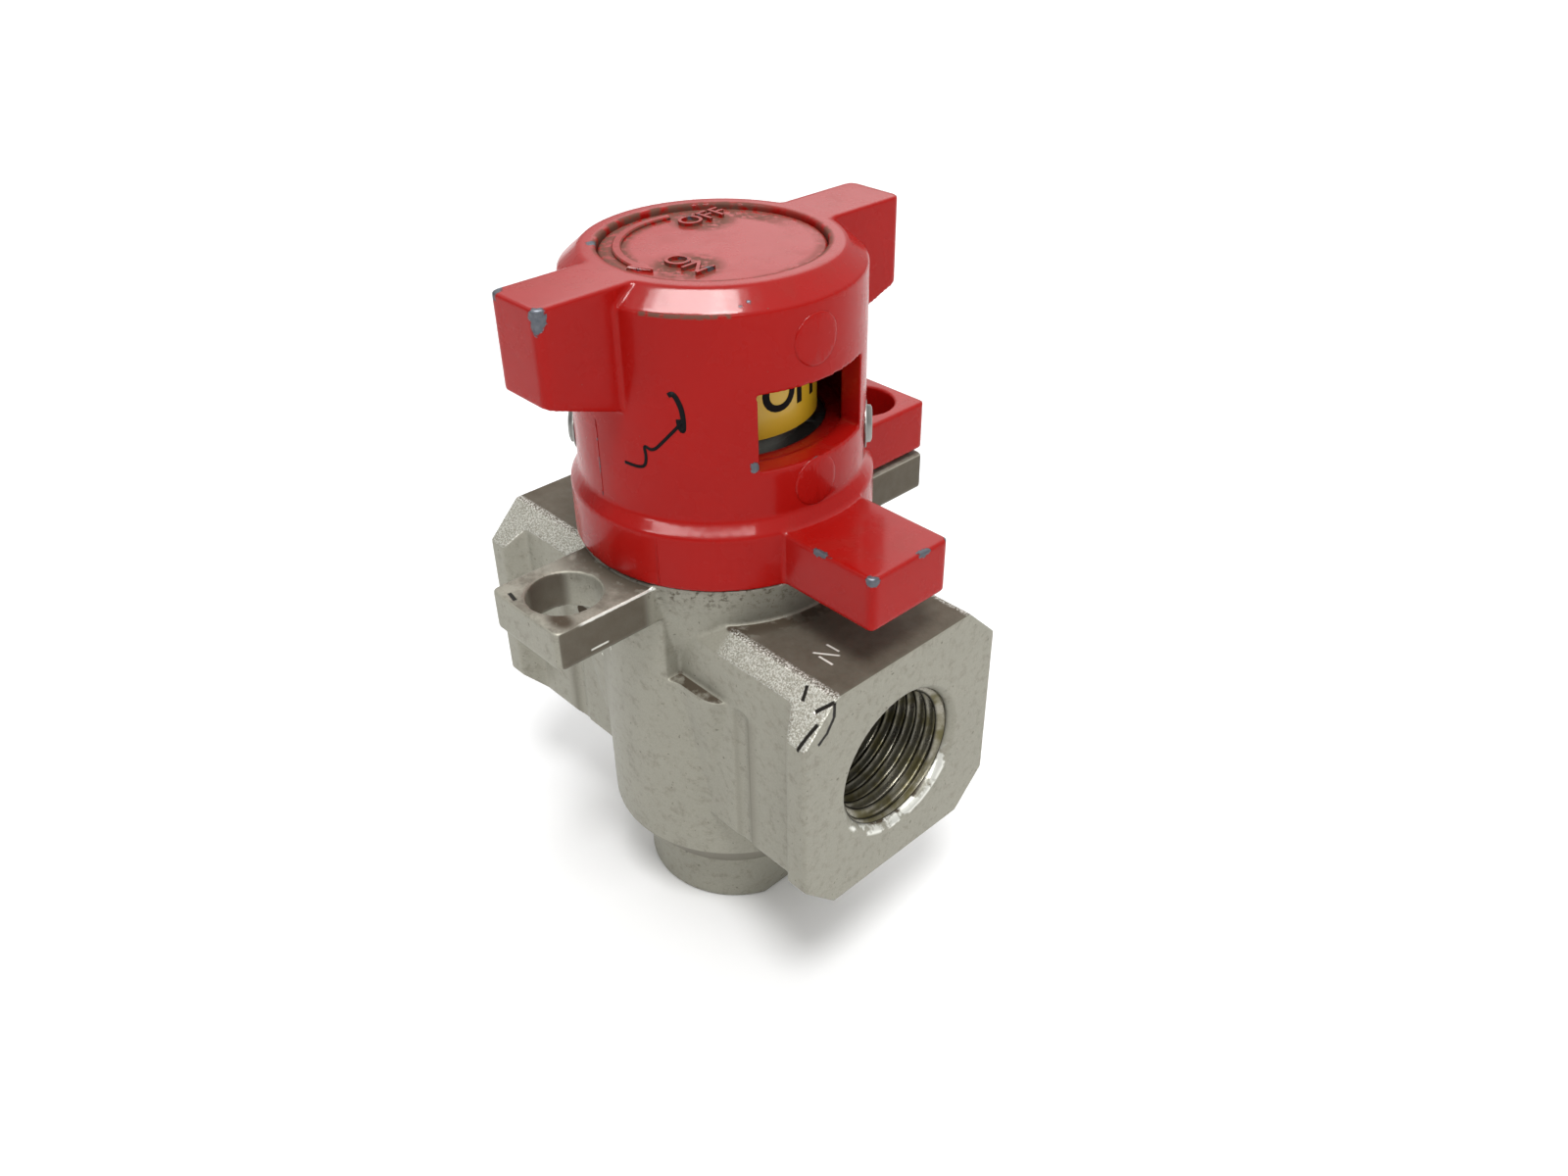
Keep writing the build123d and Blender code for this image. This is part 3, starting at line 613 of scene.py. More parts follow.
def lathe(
    name: str, profile: Sequence[tuple[float, float]], place: Matrix, segments: int = 48
) -> bpy.types.Mesh:
    """A closed solid turned about its own Z axis.

    Args:
        name: the mesh's name.
        profile: (radius, height) points from the axis to the axis.
        place: where the solid stands.
        segments: facets around.

    Returns:
        The mesh.
    """
    rows = []
    for radius, height in profile:
        ring = []
        for k in range(segments):
            turn = 2 * math.pi * k / segments
            ring.append(place @ Vector((radius * math.cos(turn), radius * math.sin(turn), height)))
        rows.append(ring)
    mesh = grid_mesh(name, rows, False, True)
    with edited(mesh) as shell:
        bmesh.ops.remove_doubles(shell, verts=shell.verts, dist=1e-7)
        bmesh.ops.recalc_face_normals(shell, faces=shell.faces)
    return mesh


def lettering(name: str, words: str, height: float, depth: float, weight: float) -> bpy.types.Mesh:
    """Raised block letters centred on the origin of the XY plane.

    Args:
        name: the mesh's name.
        words: what they say.
        height: cap height, in metres.
        depth: how far they stand up.
        weight: how much fatter their strokes are, as a share of the height.

    Returns:
        The mesh.
    """
    curve = bpy.data.curves.new(name, "FONT")
    curve.body = words
    curve.size = height / 0.70
    curve.align_x = "CENTER"
    curve.align_y = "CENTER"
    curve.offset = weight * height
    curve.extrude = depth / 2
    curve.resolution_u = 6
    holder = bpy.data.objects.new(name, curve)
    bpy.context.scene.collection.objects.link(holder)
    bpy.context.view_layer.update()
    mesh = bpy.data.meshes.new_from_object(holder.evaluated_get(bpy.context.evaluated_depsgraph_get()))
    bpy.data.objects.remove(holder)
    bpy.data.curves.remove(curve)
    return mesh


def slice_mesh(mesh: bpy.types.Mesh, step: float) -> None:
    """Cuts a mesh at even steps of X, so that it can be bent.

    Args:
        mesh: the mesh to cut.
        step: the distance between cuts, in metres.
    """
    with edited(mesh) as shape:
        low = min(v.co.x for v in shape.verts)
        high = max(v.co.x for v in shape.verts)
        for k in range(1, int((high - low) / step) + 1):
            whole = shape.verts[:] + shape.edges[:] + shape.faces[:]
            bmesh.ops.bisect_plane(shape, geom=whole, plane_co=(low + k * step, 0, 0), plane_no=(1, 0, 0))


def wrap(mesh: bpy.types.Mesh, radius: float, bearing: float, height: float) -> None:
    """Bends a flat mesh round the knob's axis.

    Args:
        mesh: X runs round the axis, Y runs up and Z points outwards.
        radius: the cylinder that Z = 0 lies on.
        bearing: where X = 0 lands, in degrees from +X.
        height: where Y = 0 lands.
    """
    for vertex in mesh.vertices:
        angle = vertex.co.x / radius + math.radians(bearing)
        r = radius + vertex.co.z
        vertex.co = Vector((r * math.cos(angle), r * math.sin(angle), height + vertex.co.y))


def eased(points: Sequence[tuple[float, float]], rounds: int) -> list[tuple[float, float]]:
    """Cuts a polyline's corners so that it runs smoothly.

    Args:
        points: the corners.
        rounds: how often the corners are cut.

    Returns:
        The smoother path.
    """
    path = list(points)
    for _ in range(rounds):
        longer = [path[0]]
        for a, b in zip(path, path[1:]):
            longer.append((0.75 * a[0] + 0.25 * b[0], 0.75 * a[1] + 0.25 * b[1]))
            longer.append((0.25 * a[0] + 0.75 * b[0], 0.25 * a[1] + 0.75 * b[1]))
        path = longer + [path[-1]]
    return path


def ribbon(name: str, path: Sequence[tuple[float, float]], half: float, lift: float) -> bpy.types.Mesh:
    """A thin closed strip along a path in the XY plane.

    Args:
        name: the mesh's name.
        path: its middle line.
        half: half its width.
        lift: how far its top stands above Z = 0; its bottom lies as deep.

    Returns:
        The mesh.
    """
    rows = []
    for k, point in enumerate(path):
        before, after = path[max(k - 1, 0)], path[min(k + 1, len(path) - 1)]
        run = Vector((after[0] - before[0], after[1] - before[1], 0)).normalized()
        aside = Vector((-run.y, run.x, 0)) * (half if 0 < k < len(path) - 1 else 0.4 * half)
        middle = Vector((point[0], point[1], 0))
        up = Vector((0, 0, lift))
        rows.append([middle + aside + up, middle - aside + up, middle - aside - up, middle + aside - up])
    mesh = grid_mesh(name, rows, False, True)
    close_ends(mesh)
    return mesh


def close_ends(mesh: bpy.types.Mesh) -> None:
    """Fills a tube's open ends and turns its faces outwards.

    Args:
        mesh: the tube.
    """
    with edited(mesh) as shape:
        bmesh.ops.holes_fill(shape, edges=shape.edges, sides=8)
        bmesh.ops.recalc_face_normals(shape, faces=shape.faces)


def joined(name: str, meshes: Iterable[bpy.types.Mesh]) -> bpy.types.Mesh:
    """One mesh out of several.

    Args:
        name: the new mesh's name.
        meshes: the meshes to join.

    Returns:
        The joined mesh.
    """
    shape = bmesh.new()
    for mesh in meshes:
        shape.from_mesh(mesh)
    whole = bpy.data.meshes.new(name)
    shape.to_mesh(whole)
    shape.free()
    return whole


# ---------------------------------------------------------------------------
# Sub-assemblies
# ---------------------------------------------------------------------------
@dataclass
class Body:
    """The die-cast body with its exhaust cap and threaded ports."""

    voxel: float = 0.28 * MM
    relax: int = 4
    liner_gap: float = 0.03 * MM
    liner_end: float = 0.3 * MM
    dent_half: float = 0.32 * MM
    corner_reach: float = 30.7 * MM
    lug_foot: float = 56.0 * MM
    boss_top: float = 14.9 * MM

    def build(self) -> None:
        """Builds and dresses the casting, the cap and the threads."""
        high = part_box("valve_body")[1]
        self.length = high.x
        mounts = {m["name"]: m for m in frame["record"]["mounts"]}
        self.port_z = mounts["outlet_port"]["pos_m"][2]
        self.port_r = mounts["outlet_port"]["dims"]["r_mm"] * MM
        self.lug_top = high.z - 0.5 * MM
        finish = DieCast(
            sparkle=self._sparkle,
            polish=self._polish,
            soil_and_shade=self._soil_and_shade,
            scratches=self._scratches(),
            shaded_dents=self._shaded_dents(),
        )
        cast = finish.build("die_cast")
        self._keep(rounded_copy("valve_body", "body_casting", cast, self.voxel, self.relax))
        cap_cast = DieCast().build("die_cast_cap")
        self._keep(rounded_copy("exhaust_cap", "exhaust_boss", cap_cast, self.voxel, self.relax - 1))
        for name, mount in mounts.items():
            if mount["kind"] == "threaded_hole":
                self._thread(name, mount)

    @staticmethod
    def _keep(piece: bpy.types.Object) -> None:
        """Rides a die-cast piece on the body."""
        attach(piece, "body")

    def _sparkle(self, graph: Graph) -> Field:
        """A mask over the rough, bright corner planes of the port blocks.

        Args:
            graph: the material's graph.

        Returns:
            The mask, from 0 to 1.
        """
        z = graph.axis("Z") - self.port_z
        y = abs(graph.axis("Y"))
        x = abs(graph.axis("X"))
        plane = abs(y + z - self.corner_reach).step(0.9 * MM, 0.35 * MM)
        return plane * x.step(0.42 * self.length, 0.46 * self.length) * graph.facing("Z").step(0.3, 0.5)

    def _polish(self, graph: Graph) -> Field:
        """Bright rubbed metal on the lower half of the outlet's lead-in.

        Args:
            graph: the material's graph.

        Returns:
            The mask, from 0 to 1.
        """
        around = graph.distance_to(Vector((0, 0, self.port_z)), (0.0, 1.0, 1.0))
        rim = abs(around - self.port_r - 0.5 * MM).step(0.9 * MM, 0.4 * MM)
        mouth = graph.axis("X").step(self.length - 1.4 * MM, self.length - 1.0 * MM)
        lower = graph.axis("Z").step(self.port_z - 3.0 * MM, self.port_z - 6.0 * MM)
        return rim * mouth * lower * graph.noise(2.6 * MM, 4.0, seed=23.0).step(0.46, 0.56)

    def _soil_and_shade(self, graph: Graph) -> Field:
        """Brown soiling on the shelves and port blocks, and painted shade beneath the collar, on the lug's
        sides, round the lowest band and beside the blocks.

        Args:
            graph: the material's graph.

        Returns:
            The mask, from 0 to 1.
        """
        z = graph.axis("Z")
        top = graph.facing("Z").step(0.7, 0.9)
        blotch = graph.noise(2.4 * MM, 4.0, seed=21.0)
        near_collar = top * graph.radius().step(27 * MM, 20 * MM)
        shelf = top * z.step(self.lug_foot, self.lug_foot - 2.0 * MM)
        block = top * abs(graph.axis("X")).step(15 * MM, 20 * MM)
        # Painted shade: a spotty dark band on the neck, beneath the knob's collar.
        collar_shade = graph.radius().step(22 * MM, 21 * MM) * z.step(57.5 * MM, 62.5 * MM) * 0.9
        collar_shade = collar_shade * graph.noise(0.9 * MM, 4.0, 0.65, seed=25.0).step(0.50, 0.66)
        # Painted shade: the lug's sides that face ±X are darkened.
        flank_shade = abs(graph.facing("X")).step(0.7, 0.9) * abs(graph.axis("Y")).step(19 * MM, 21 * MM)
        flank_shade = flank_shade * z.step(self.lug_foot, self.lug_foot + 1.5 * MM) * 0.90
        # Painted shade: the casting's lowest band, round the exhaust boss, is darkened.
        boss = graph.radius().step(14.4 * MM, 14.9 * MM)
        foot_shade = z.step(self.boss_top, self.boss_top - 0.6 * MM) * boss * 0.5
        # Painted shade in the valleys between the barrel and the port blocks.
        groove_shade = graph.radius().step(27.6 * MM, 25.6 * MM) * abs(graph.axis("Y")).step(14.6 * MM, 15.4 * MM)
        groove_shade = groove_shade * abs(graph.axis("X")).step(17.6 * MM, 18.6 * MM) * z.step(47 * MM, 45 * MM) * 0.35
        corner = graph.distance_to(Vector((5.0 * MM, -31.8 * MM, self.lug_top)), (0.6, 1.0, 1.0))
        spots = near_collar.high(shelf).high(corner.step(2.2 * MM, 0.6 * MM)) * blotch.step(0.24, 0.50)
        spots = spots.high(block * (0.7 + 0.3 * blotch)).high(flank_shade * (0.8 + 0.2 * blotch))
        return spots.high(foot_shade).high(groove_shade).high(collar_shade)

    def _scratches(self) -> tuple[Stroke, ...]:
        """Bright scratches on the outlet block's top and a rubbed edge on the lug."""
        z = self.port_z + 18 * MM
        side = 7.4 * MM
        top = [((26.2, -8.5), (29.3, -6.3)), ((27.3, -8.4), (30.0, -8.4)), ((26.2, -5.9), (28.6, -5.8))]
        marks = [
            Stroke(Vector((a[0] * MM, a[1] * MM, z)), Vector((b[0] * MM, b[1] * MM, z)), 0.20 * MM)
            for a, b in top
        ]
        edge = self.lug_top - 0.1 * MM
        marks.append(Stroke(Vector((side, -18 * MM, edge)), Vector((side, -31 * MM, edge)), 0.30 * MM))
        low = self.lug_top - 4.6 * MM
        marks.append(Stroke(Vector((side, -26.5 * MM, low)), Vector((side, -29.5 * MM, low)), 0.18 * MM))
        return tuple(marks)

    def _shaded_dents(self) -> tuple[Stroke, ...]:
        """Painted shade of dents at the outlet flange's upper corner and on the lug."""
        face = self.length / MM
        paths = (
            ((face, -13.2, 55.8), (face, -13.3, 53.8), (face, -14.5, 51.9), (face, -15.9, 50.9)),
            ((34.8, -13.3, 55.9), (33.3, -14.7, 54.5)),
            ((34.4, -15.7, 53.5), (34.0, -17.0, 52.2), (33.7, -18.6, 50.6)),
            ((30.2, -13.3, 55.9), (30.7, -14.5, 54.7)),
            ((-4.7, -33.0, 62.4), (-3.0, -33.3, 62.4)),
        )
        marks = []
        for path in paths:
            spots = [Vector(spot) * MM for spot in path]
            for a, b in zip(spots, spots[1:]):
                reach = 0.15 * (b - a)
                marks.append(Stroke(a - reach, b + reach, self.dent_half))
        return tuple(marks)

    def _thread(self, name: str, mount: dict) -> None:
        """A pipe thread inside one port, as a thin liner against its bore.

        Args:
            name: the mount's name.
            mount: the mount's record.
        """
        outward = Vector(mount["axis"])
        radius = mount["dims"]["r_mm"] * MM - self.liner_gap
        depth = mount["dims"]["length_mm"] * MM
        middle = Vector(mount["pos_m"])
        inner_end = middle - outward * depth / 2
        if name == "exhaust_port":
            inner_end = middle - outward * depth
        run = depth - 2 * self.liner_end
        steps = int(run / PORT_PITCH * 10)
        side = outward.orthogonal().normalized()
        other = outward.cross(side)
        turns = [k / 120 for k in range(120)]
        angles = [2 * math.pi * turn for turn in turns]
        spokes = [side * math.cos(angle) + other * math.sin(angle) for angle in angles]

        def ring(i: int, radii: Iterable[float]) -> list[Vector]:
            """The ring of points at one step, with a radius for each spoke."""
            centre = inner_end + outward * (self.liner_end + run * i / steps)
            return [centre + spoke * r for spoke, r in zip(spokes, radii)]

        rows = []
        for i in range(steps + 1):
            fade = min(1.0, i / 4, (steps - i) / 6)
            risen = run * i / steps / PORT_PITCH
            rows.append(ring(i, [radius - THREAD_DEPTH * fade * self._crest(risen + turn) for turn in turns]))
        rows += [ring(i, [radius + self.liner_gap / 2] * len(turns)) for i in (steps, 0)]
        mesh = grid_mesh(f"{name}_thread", rows, True, True)
        self._keep(add_piece(f"{name}_thread", mesh, self._thread_finish()))

    @staticmethod
    def _crest(turns: float) -> float:
        """How far a thread's ridge stands up, from 0 to 1, after a number of turns."""
        return min(1.0, max(0.0, 1.35 * (1.0 - abs(2.0 * (turns % 1.0) - 1.0)) - 0.175))

    @staticmethod
    def _thread_finish() -> bpy.types.Material:
        """Cut metal with oil stains and painted shade in the roots, shared by the three ports."""
        known = bpy.data.materials.get("cut_thread")
        if known:
            return known
        graph = Graph("cut_thread")
        oil = graph.noise(3.0 * MM, 4.0).step(0.35, 0.65)
        tone = graph.mix(oil, (0.30, 0.285, 0.235), (0.13, 0.115, 0.055))
        # Painted shade in the thread's hollows, from the surface's curvature.
        root_shade = graph.pointed().step(0.50, 0.44)
        graph.set(Base_Color=graph.mix(root_shade, tone, (0.02, 0.018, 0.012)))
        graph.set(Metallic=0.85, Roughness=0.26 + oil * 0.16)
        graph.bump((graph.noise(0.5 * MM, 3.0), 0.02 * MM))
        return graph.material


@dataclass
class Knob:
    """The red knob: shell, cap disc with raised marks, and side screws."""

    voxel: float = 0.26 * MM
    relax: int = 4
    mark_height: float = 0.40 * MM
    arrow_r: float = 12.0 * MM
    arrow_half: float = 0.60 * MM
    arrow_start: float = 168.0
    arrow_end: float = 283.0
    arrow_head: float = 14.0
    barrel_r: float = 19.6 * MM
    words: tuple[tuple[str, str, Vector, float], ...] = (
        ("mark_off", "OFF", Vector((-8.2, 5.4, 0)) * MM, 92.0),
        ("mark_on", "ON", Vector((4.0, -7.6, 0)) * MM, 4.0),
    )

    def build(self) -> None:
        """Builds and dresses everything that turns with the knob and can be seen."""
        self.low, self.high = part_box("knob")
        self.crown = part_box("knob_cap")[1].z
        shell_finish = RedPaint(self._chips(), self._wear(), self._rim_soil).build("red_paint")
        self._ride(rounded_copy("knob", "knob_shell", shell_finish, self.voxel, self.relax), "red_paint")
        cap_finish = RedPaint(soil_and_shade=self._cap_soil).build("red_paint_cap")
        self._ride(rounded_copy("knob_cap", "knob_cap_disc", cap_finish, self.voxel, 2), "red_paint")
        self._arrow(cap_finish)
        for name, words, centre, turn in self.words:
            self._word(name, words, centre, turn, cap_finish)
        self._screws()
        self._mould_marks(shell_finish)
        self._scribble()

    @staticmethod
    def _ride(piece: bpy.types.Object, slot: str) -> None:
        """Rides a piece on the knob."""
        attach(piece, "knob")

    def _chips(self) -> tuple[Chip, ...]:
        """Paint chips on the corners that get knocked: wing tips, tab corners and the window's sill."""
        top, wing_y, tab_x = self.high.z, self.low.y, self.high.x
        wing_x, tab_y, tab_z = 4.7 * MM, 7.0 * MM, self.low.z + 7.7 * MM
        return (
            Chip(Vector((wing_x, wing_y, top - 0.9 * MM)), 1.35 * MM, (1.0, 0.9, 0.55)),
            Chip(Vector((-wing_x, wing_y, top)), 1.8 * MM, (1.0, 1.0, 1.3)),
            Chip(Vector((tab_x, -tab_y, tab_z - 0.2 * MM)), 1.35 * MM, (1.0, 1.0, 1.1)),
            Chip(Vector((tab_x, tab_y, tab_z)), 0.8 * MM),
            Chip(Vector((tab_x, 0.35 * tab_y, tab_z)), 0.75 * MM, (1.0, 0.6, 1.0)),
            Chip(Vector((tab_x - 9.0 * MM, -tab_y, tab_z)), 0.7 * MM, (0.5, 1.0, 1.0)),
            Chip(Vector((17.4 * MM, -9.3 * MM, 80.2 * MM)), 0.75 * MM),
            Chip(Vector((-9.4 * MM, -11.6 * MM, top)), 0.8 * MM),
        )

    def _wear(self) -> tuple[Stroke, ...]:
        """A brown line of wear along the lower edge of the crown's chamfer."""
        radius = self.barrel_r - 0.1 * MM
        height = self.high.z - 2.6 * MM
        bearings = [math.radians(a) for a in (-66, -56, -46, -36)]
        spots = [Vector((radius * math.cos(a), radius * math.sin(a), height)) for a in bearings]
        pairs = zip(spots, spots[1:])
        return tuple(Stroke(a + 0.15 * (a - b), b + 0.15 * (b - a), 0.34 * MM) for a, b in pairs)

    def _rim_soil(self, graph: Graph) -> Field:
        """Brown soiling in the crown's recess, round the cap disc.

        Args:
            graph: the material's graph.

        Returns:
            The mask, from 0 to 1.
        """
        inside = graph.radius().step(15.4 * MM, 14.7 * MM)
        side = abs(graph.axis("X")).step(3 * MM, 9 * MM)
        near_top = graph.axis("Z").step(98 * MM, 99.5 * MM)
        return inside * near_top * (0.4 + 0.6 * side) * graph.noise(1.6 * MM, 4.0, seed=33.0).step(0.34, 0.56)

    def _cap_soil(self, graph: Graph) -> Field:
        """Brown soiling in the cap's rim groove and round its raised marks.

        Args:
            graph: the material's graph.

        Returns:
            The mask, from 0 to 1.
        """
        radius = graph.radius()
        left = graph.axis("X").step(4 * MM, -4 * MM)
        rim = radius.step(12.3 * MM, 13.6 * MM) * (0.55 + 0.45 * left)
        by_arrow = abs(radius - self.arrow_r).step(2.1 * MM, 0.8 * MM) * left * 0.9
        spots = rim.high(by_arrow)
        for _, _, centre, _ in self.words:
            away = graph.distance_to(Vector((centre.x, centre.y, self.crown)))
            spots = spots.high(away.step(5.6 * MM, 3.0 * MM) * 0.95)
        blotch = graph.noise(1.0 * MM, 5.0, 0.65, seed=31.0)
        low = graph.axis("Z").step(self.crown + 0.42 * MM, self.crown + 0.30 * MM)
        return spots * (0.25 + 0.75 * low) * blotch.step(0.36, 0.52)

    def _arrow(self, material: bpy.types.Material) -> None:
        """The raised arc arrow on the cap, which points the way the knob opens.

        Args:
            material: the cap's finish.
        """
        start, end = math.radians(self.arrow_start), math.radians(self.arrow_end)
        head = math.radians(self.arrow_head)
        base = self.crown - 0.1 * MM
        top = self.crown + self.mark_height
        stations = [(start + (end - head - start) * k / 40, self.arrow_half) for k in range(41)]
        stations += [(end - head, 2.3 * self.arrow_half), (end, 0.12 * self.arrow_half)]
        lift = Vector((0, 0, top - base))
        floor = Vector((0, 0, base))
        rows = []
        for turn, half in stations:
            spoke = Vector((math.cos(turn), math.sin(turn), 0))
            inner = spoke * (self.arrow_r - half)
            outer = spoke * (self.arrow_r + half)
            edge = min(0.18 * MM, 0.3 * half)
            rows.append([
                inner + floor,
                inner + floor + lift * 0.7,
                inner + spoke * edge + floor + lift,
                outer - spoke * edge + floor + lift,
                outer + floor + lift * 0.7,
                outer + floor,
            ])
        mesh = grid_mesh("arrow", rows, False, True)
        close_ends(mesh)
        piece = add_piece("cap_arrow", mesh, material)
        mesh.shade_flat()
        self._ride(piece, "red_paint")

    def _word(
        self, name: str, words: str, centre: Vector, turn: float, material: bpy.types.Material
    ) -> None:
        """Raised letters on the cap.

        Args:
            name: the piece's name.
            words: what they say.
            centre: where they stand on the cap.
            turn: how far they are turned about +Z, in degrees.
            material: their finish.
        """
        mesh = lettering(name, words, 3.1 * MM, self.mark_height + 0.1 * MM, 0.0)
        lift = Vector((0, 0, self.crown + self.mark_height / 2))
        mesh.transform(Matrix.Translation(centre + lift) @ Matrix.Rotation(math.radians(turn), 4, "Z"))
        piece = add_piece(name, mesh, material)
        mesh.shade_flat()
        self._ride(piece, "red_paint")

    def _screws(self) -> None:
        """Two washer-faced screws with recessed heads, through the knob's wall."""
        low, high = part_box("knob_screws")
        middle_z = (low.z + high.z) / 2
        head_r = (high.z - low.z) / 2
        thick, shank_r, shank = 1.15 * MM, 1.45 * MM, 6.5 * MM
        seat_r = 19.3 * MM
        profile = (
            (0, 0.70 * thick),
            (0.26 * head_r, 0.72 * thick),
            (0.31 * head_r, 0.95 * thick),
            (0.66 * head_r, thick),
            (0.76 * head_r, 0.86 * thick),
            (0.78 * head_r, 0.40 * thick),
            (0.97 * head_r, 0.36 * thick),
            (head_r, 0.28 * thick),
            (head_r, 0.02 * thick),
            (shank_r, 0),
            (shank_r, -shank),
            (0, -shank),
        )
        screws = []
        for side in (1, -1):
            outward = Vector((side, side, 0)).normalized()
            seat = outward * seat_r + Vector((0, 0, middle_z))
            place = Matrix.Translation(seat) @ outward.to_track_quat("Z", "Y").to_matrix().to_4x4()
            screws.append(lathe("screw", profile, place))
        piece = add_piece("knob_side_screws", joined("knob_side_screws", screws), Finish.ZINC.material())
        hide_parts("knob_screws")
        self._ride(piece, "steel")

    def _mould_marks(self, material: bpy.types.Material) -> None:
        """Faint ejector discs and parting lines of the knob's casting.

        Args:
            material: the knob's finish.
        """
        lift = 0.15 * MM
        disc = ((0, lift), (3.15 * MM, lift), (3.35 * MM, 0.3 * lift), (3.4 * MM, -lift), (0, -lift))
        marks = []
        for height in (95.2 * MM, 76.2 * MM):
            mesh = lathe("ejector", disc, Matrix.Identity(4))
            slice_mesh(mesh, 0.6 * MM)
            wrap(mesh, self.barrel_r, -3.0, height)
            marks.append(mesh)
        partings = ((-92.5, self.barrel_r, 73.2, 84.0), (-65.0, 20.85 * MM, 63.8, 70.6))
        for bearing, radius, low, high in partings:
            line = [(0.0, (low + (high - low) * k / 8) * MM) for k in range(9)]
            mesh = ribbon("parting", line, 0.10 * MM, 0.05 * MM)
            wrap(mesh, radius, bearing, 0.0)
            marks.append(mesh)
        self._ride(add_piece("mould_marks", joined("mould_marks", marks), material), "red_paint")

    def _scribble(self) -> None:
        """A short pen scribble on the knob's front, as a thin film of ink."""
        hook = ((-58, 90), (-56, 90.4), (-53.6, 88.6), (-53, 87), (-53.2, 85.3), (-54.6, 86.0), (-54.8, 87))
        tail = ((-53.6, 86.6), (-61, 83.8), (-65.5, 82.2), (-69, 83), (-68, 81.2), (-69.5, 79.6), (-78, 79.8))
        films = []
        for half, spots in ((0.32, hook), (0.20, tail)):
            path = [(math.radians(bearing) * self.barrel_r, height * MM) for bearing, height in spots]
            mesh = ribbon("stroke", eased(path, 3), half * MM, 0.05 * MM)
            wrap(mesh, self.barrel_r, 0.0, 0.0)
            films.append(mesh)
        self._ride(add_piece("pen_scribble", joined("pen_scribble", films), Finish.INK.material()), "resin")


@dataclass
class Indicator:
    """The fixed drum behind the window, with a label for each position."""

    letter_height: float = 4.6 * MM
    letter_base: float = 83.5 * MM
    film: float = 0.05 * MM

    def build(self) -> None:
        """Dresses the drum and prints its labels."""
        for node, finish in (("label_vent", Finish.YELLOW_FILM), ("label_open", Finish.GREEN_FILM)):
            frame["nodes"][node].data.materials[0] = finish.material()
        self._print("label_vent_print", "OFF", 8.0)
        self._print("label_open_print", "ON", 90.0)

    def _print(self, name: str, words: str, bearing: float) -> None:
        """Printed letters wrapped round the drum.

        Args:
            name: the piece's name.
            words: what they say.
            bearing: the middle of the word about +Z, in degrees.
        """
        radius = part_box("label_vent")[1].x
        mesh = lettering(name, words, self.letter_height, self.film, 0.035)
        slice_mesh(mesh, 0.5 * MM)
        wrap(mesh, radius + self.film / 2, bearing, self.letter_base + self.letter_height / 2)
        piece = add_piece(name, mesh, Finish.INK.material())
        mesh.shade_flat()
        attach(piece, "body")


@dataclass
class Inside:
    """The working parts inside, which keep their CAD shapes."""

    stem_travel: float = 6.0 * MM
    finishes: dict[str, Finish] = field(default_factory=lambda: {
        "stem": Finish.STEEL,
        "cross_pin": Finish.STEEL,
        "seal_retainer": Finish.STEEL,
        "drum_screw": Finish.STEEL,
        "cam_sleeve": Finish.ZINC,
        "bonnet": Finish.RESIN,
        "indicator_drum": Finish.RESIN,
        "bonnet_screws": Finish.DARK_STEEL,
        "retaining_ring": Finish.DARK_STEEL,
        "poppet": Finish.BRASS,
        "poppet_nut": Finish.BRASS,
        "thrust_washer": Finish.BRASS,
        "upper_seal": Finish.RUBBER,
        "lower_seal": Finish.RUBBER,
        "bonnet_o_ring": Finish.RUBBER,
        "stem_o_ring": Finish.RUBBER,
        "exhaust_cap_o_ring": Finish.RUBBER,
    })

    def build(self) -> None:
        """Gives each inner node its finish."""
        for node, finish in self.finishes.items():
            data = frame["nodes"][node].data
            data.materials.clear()
            data.materials.append(finish.material())
            LOG.info("%s wears %s", node, finish.name.lower())
        self._spring()

    def _spring(self) -> None:
        """The return spring, a copy of its CAD coil that rides on the body."""
        coil = frame["nodes"]["return_spring"].data.copy()
        piece = add_piece("poppet_spring", coil, Finish.STEEL.material())
        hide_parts("return_spring")
        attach(piece, "body")
        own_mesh(piece)


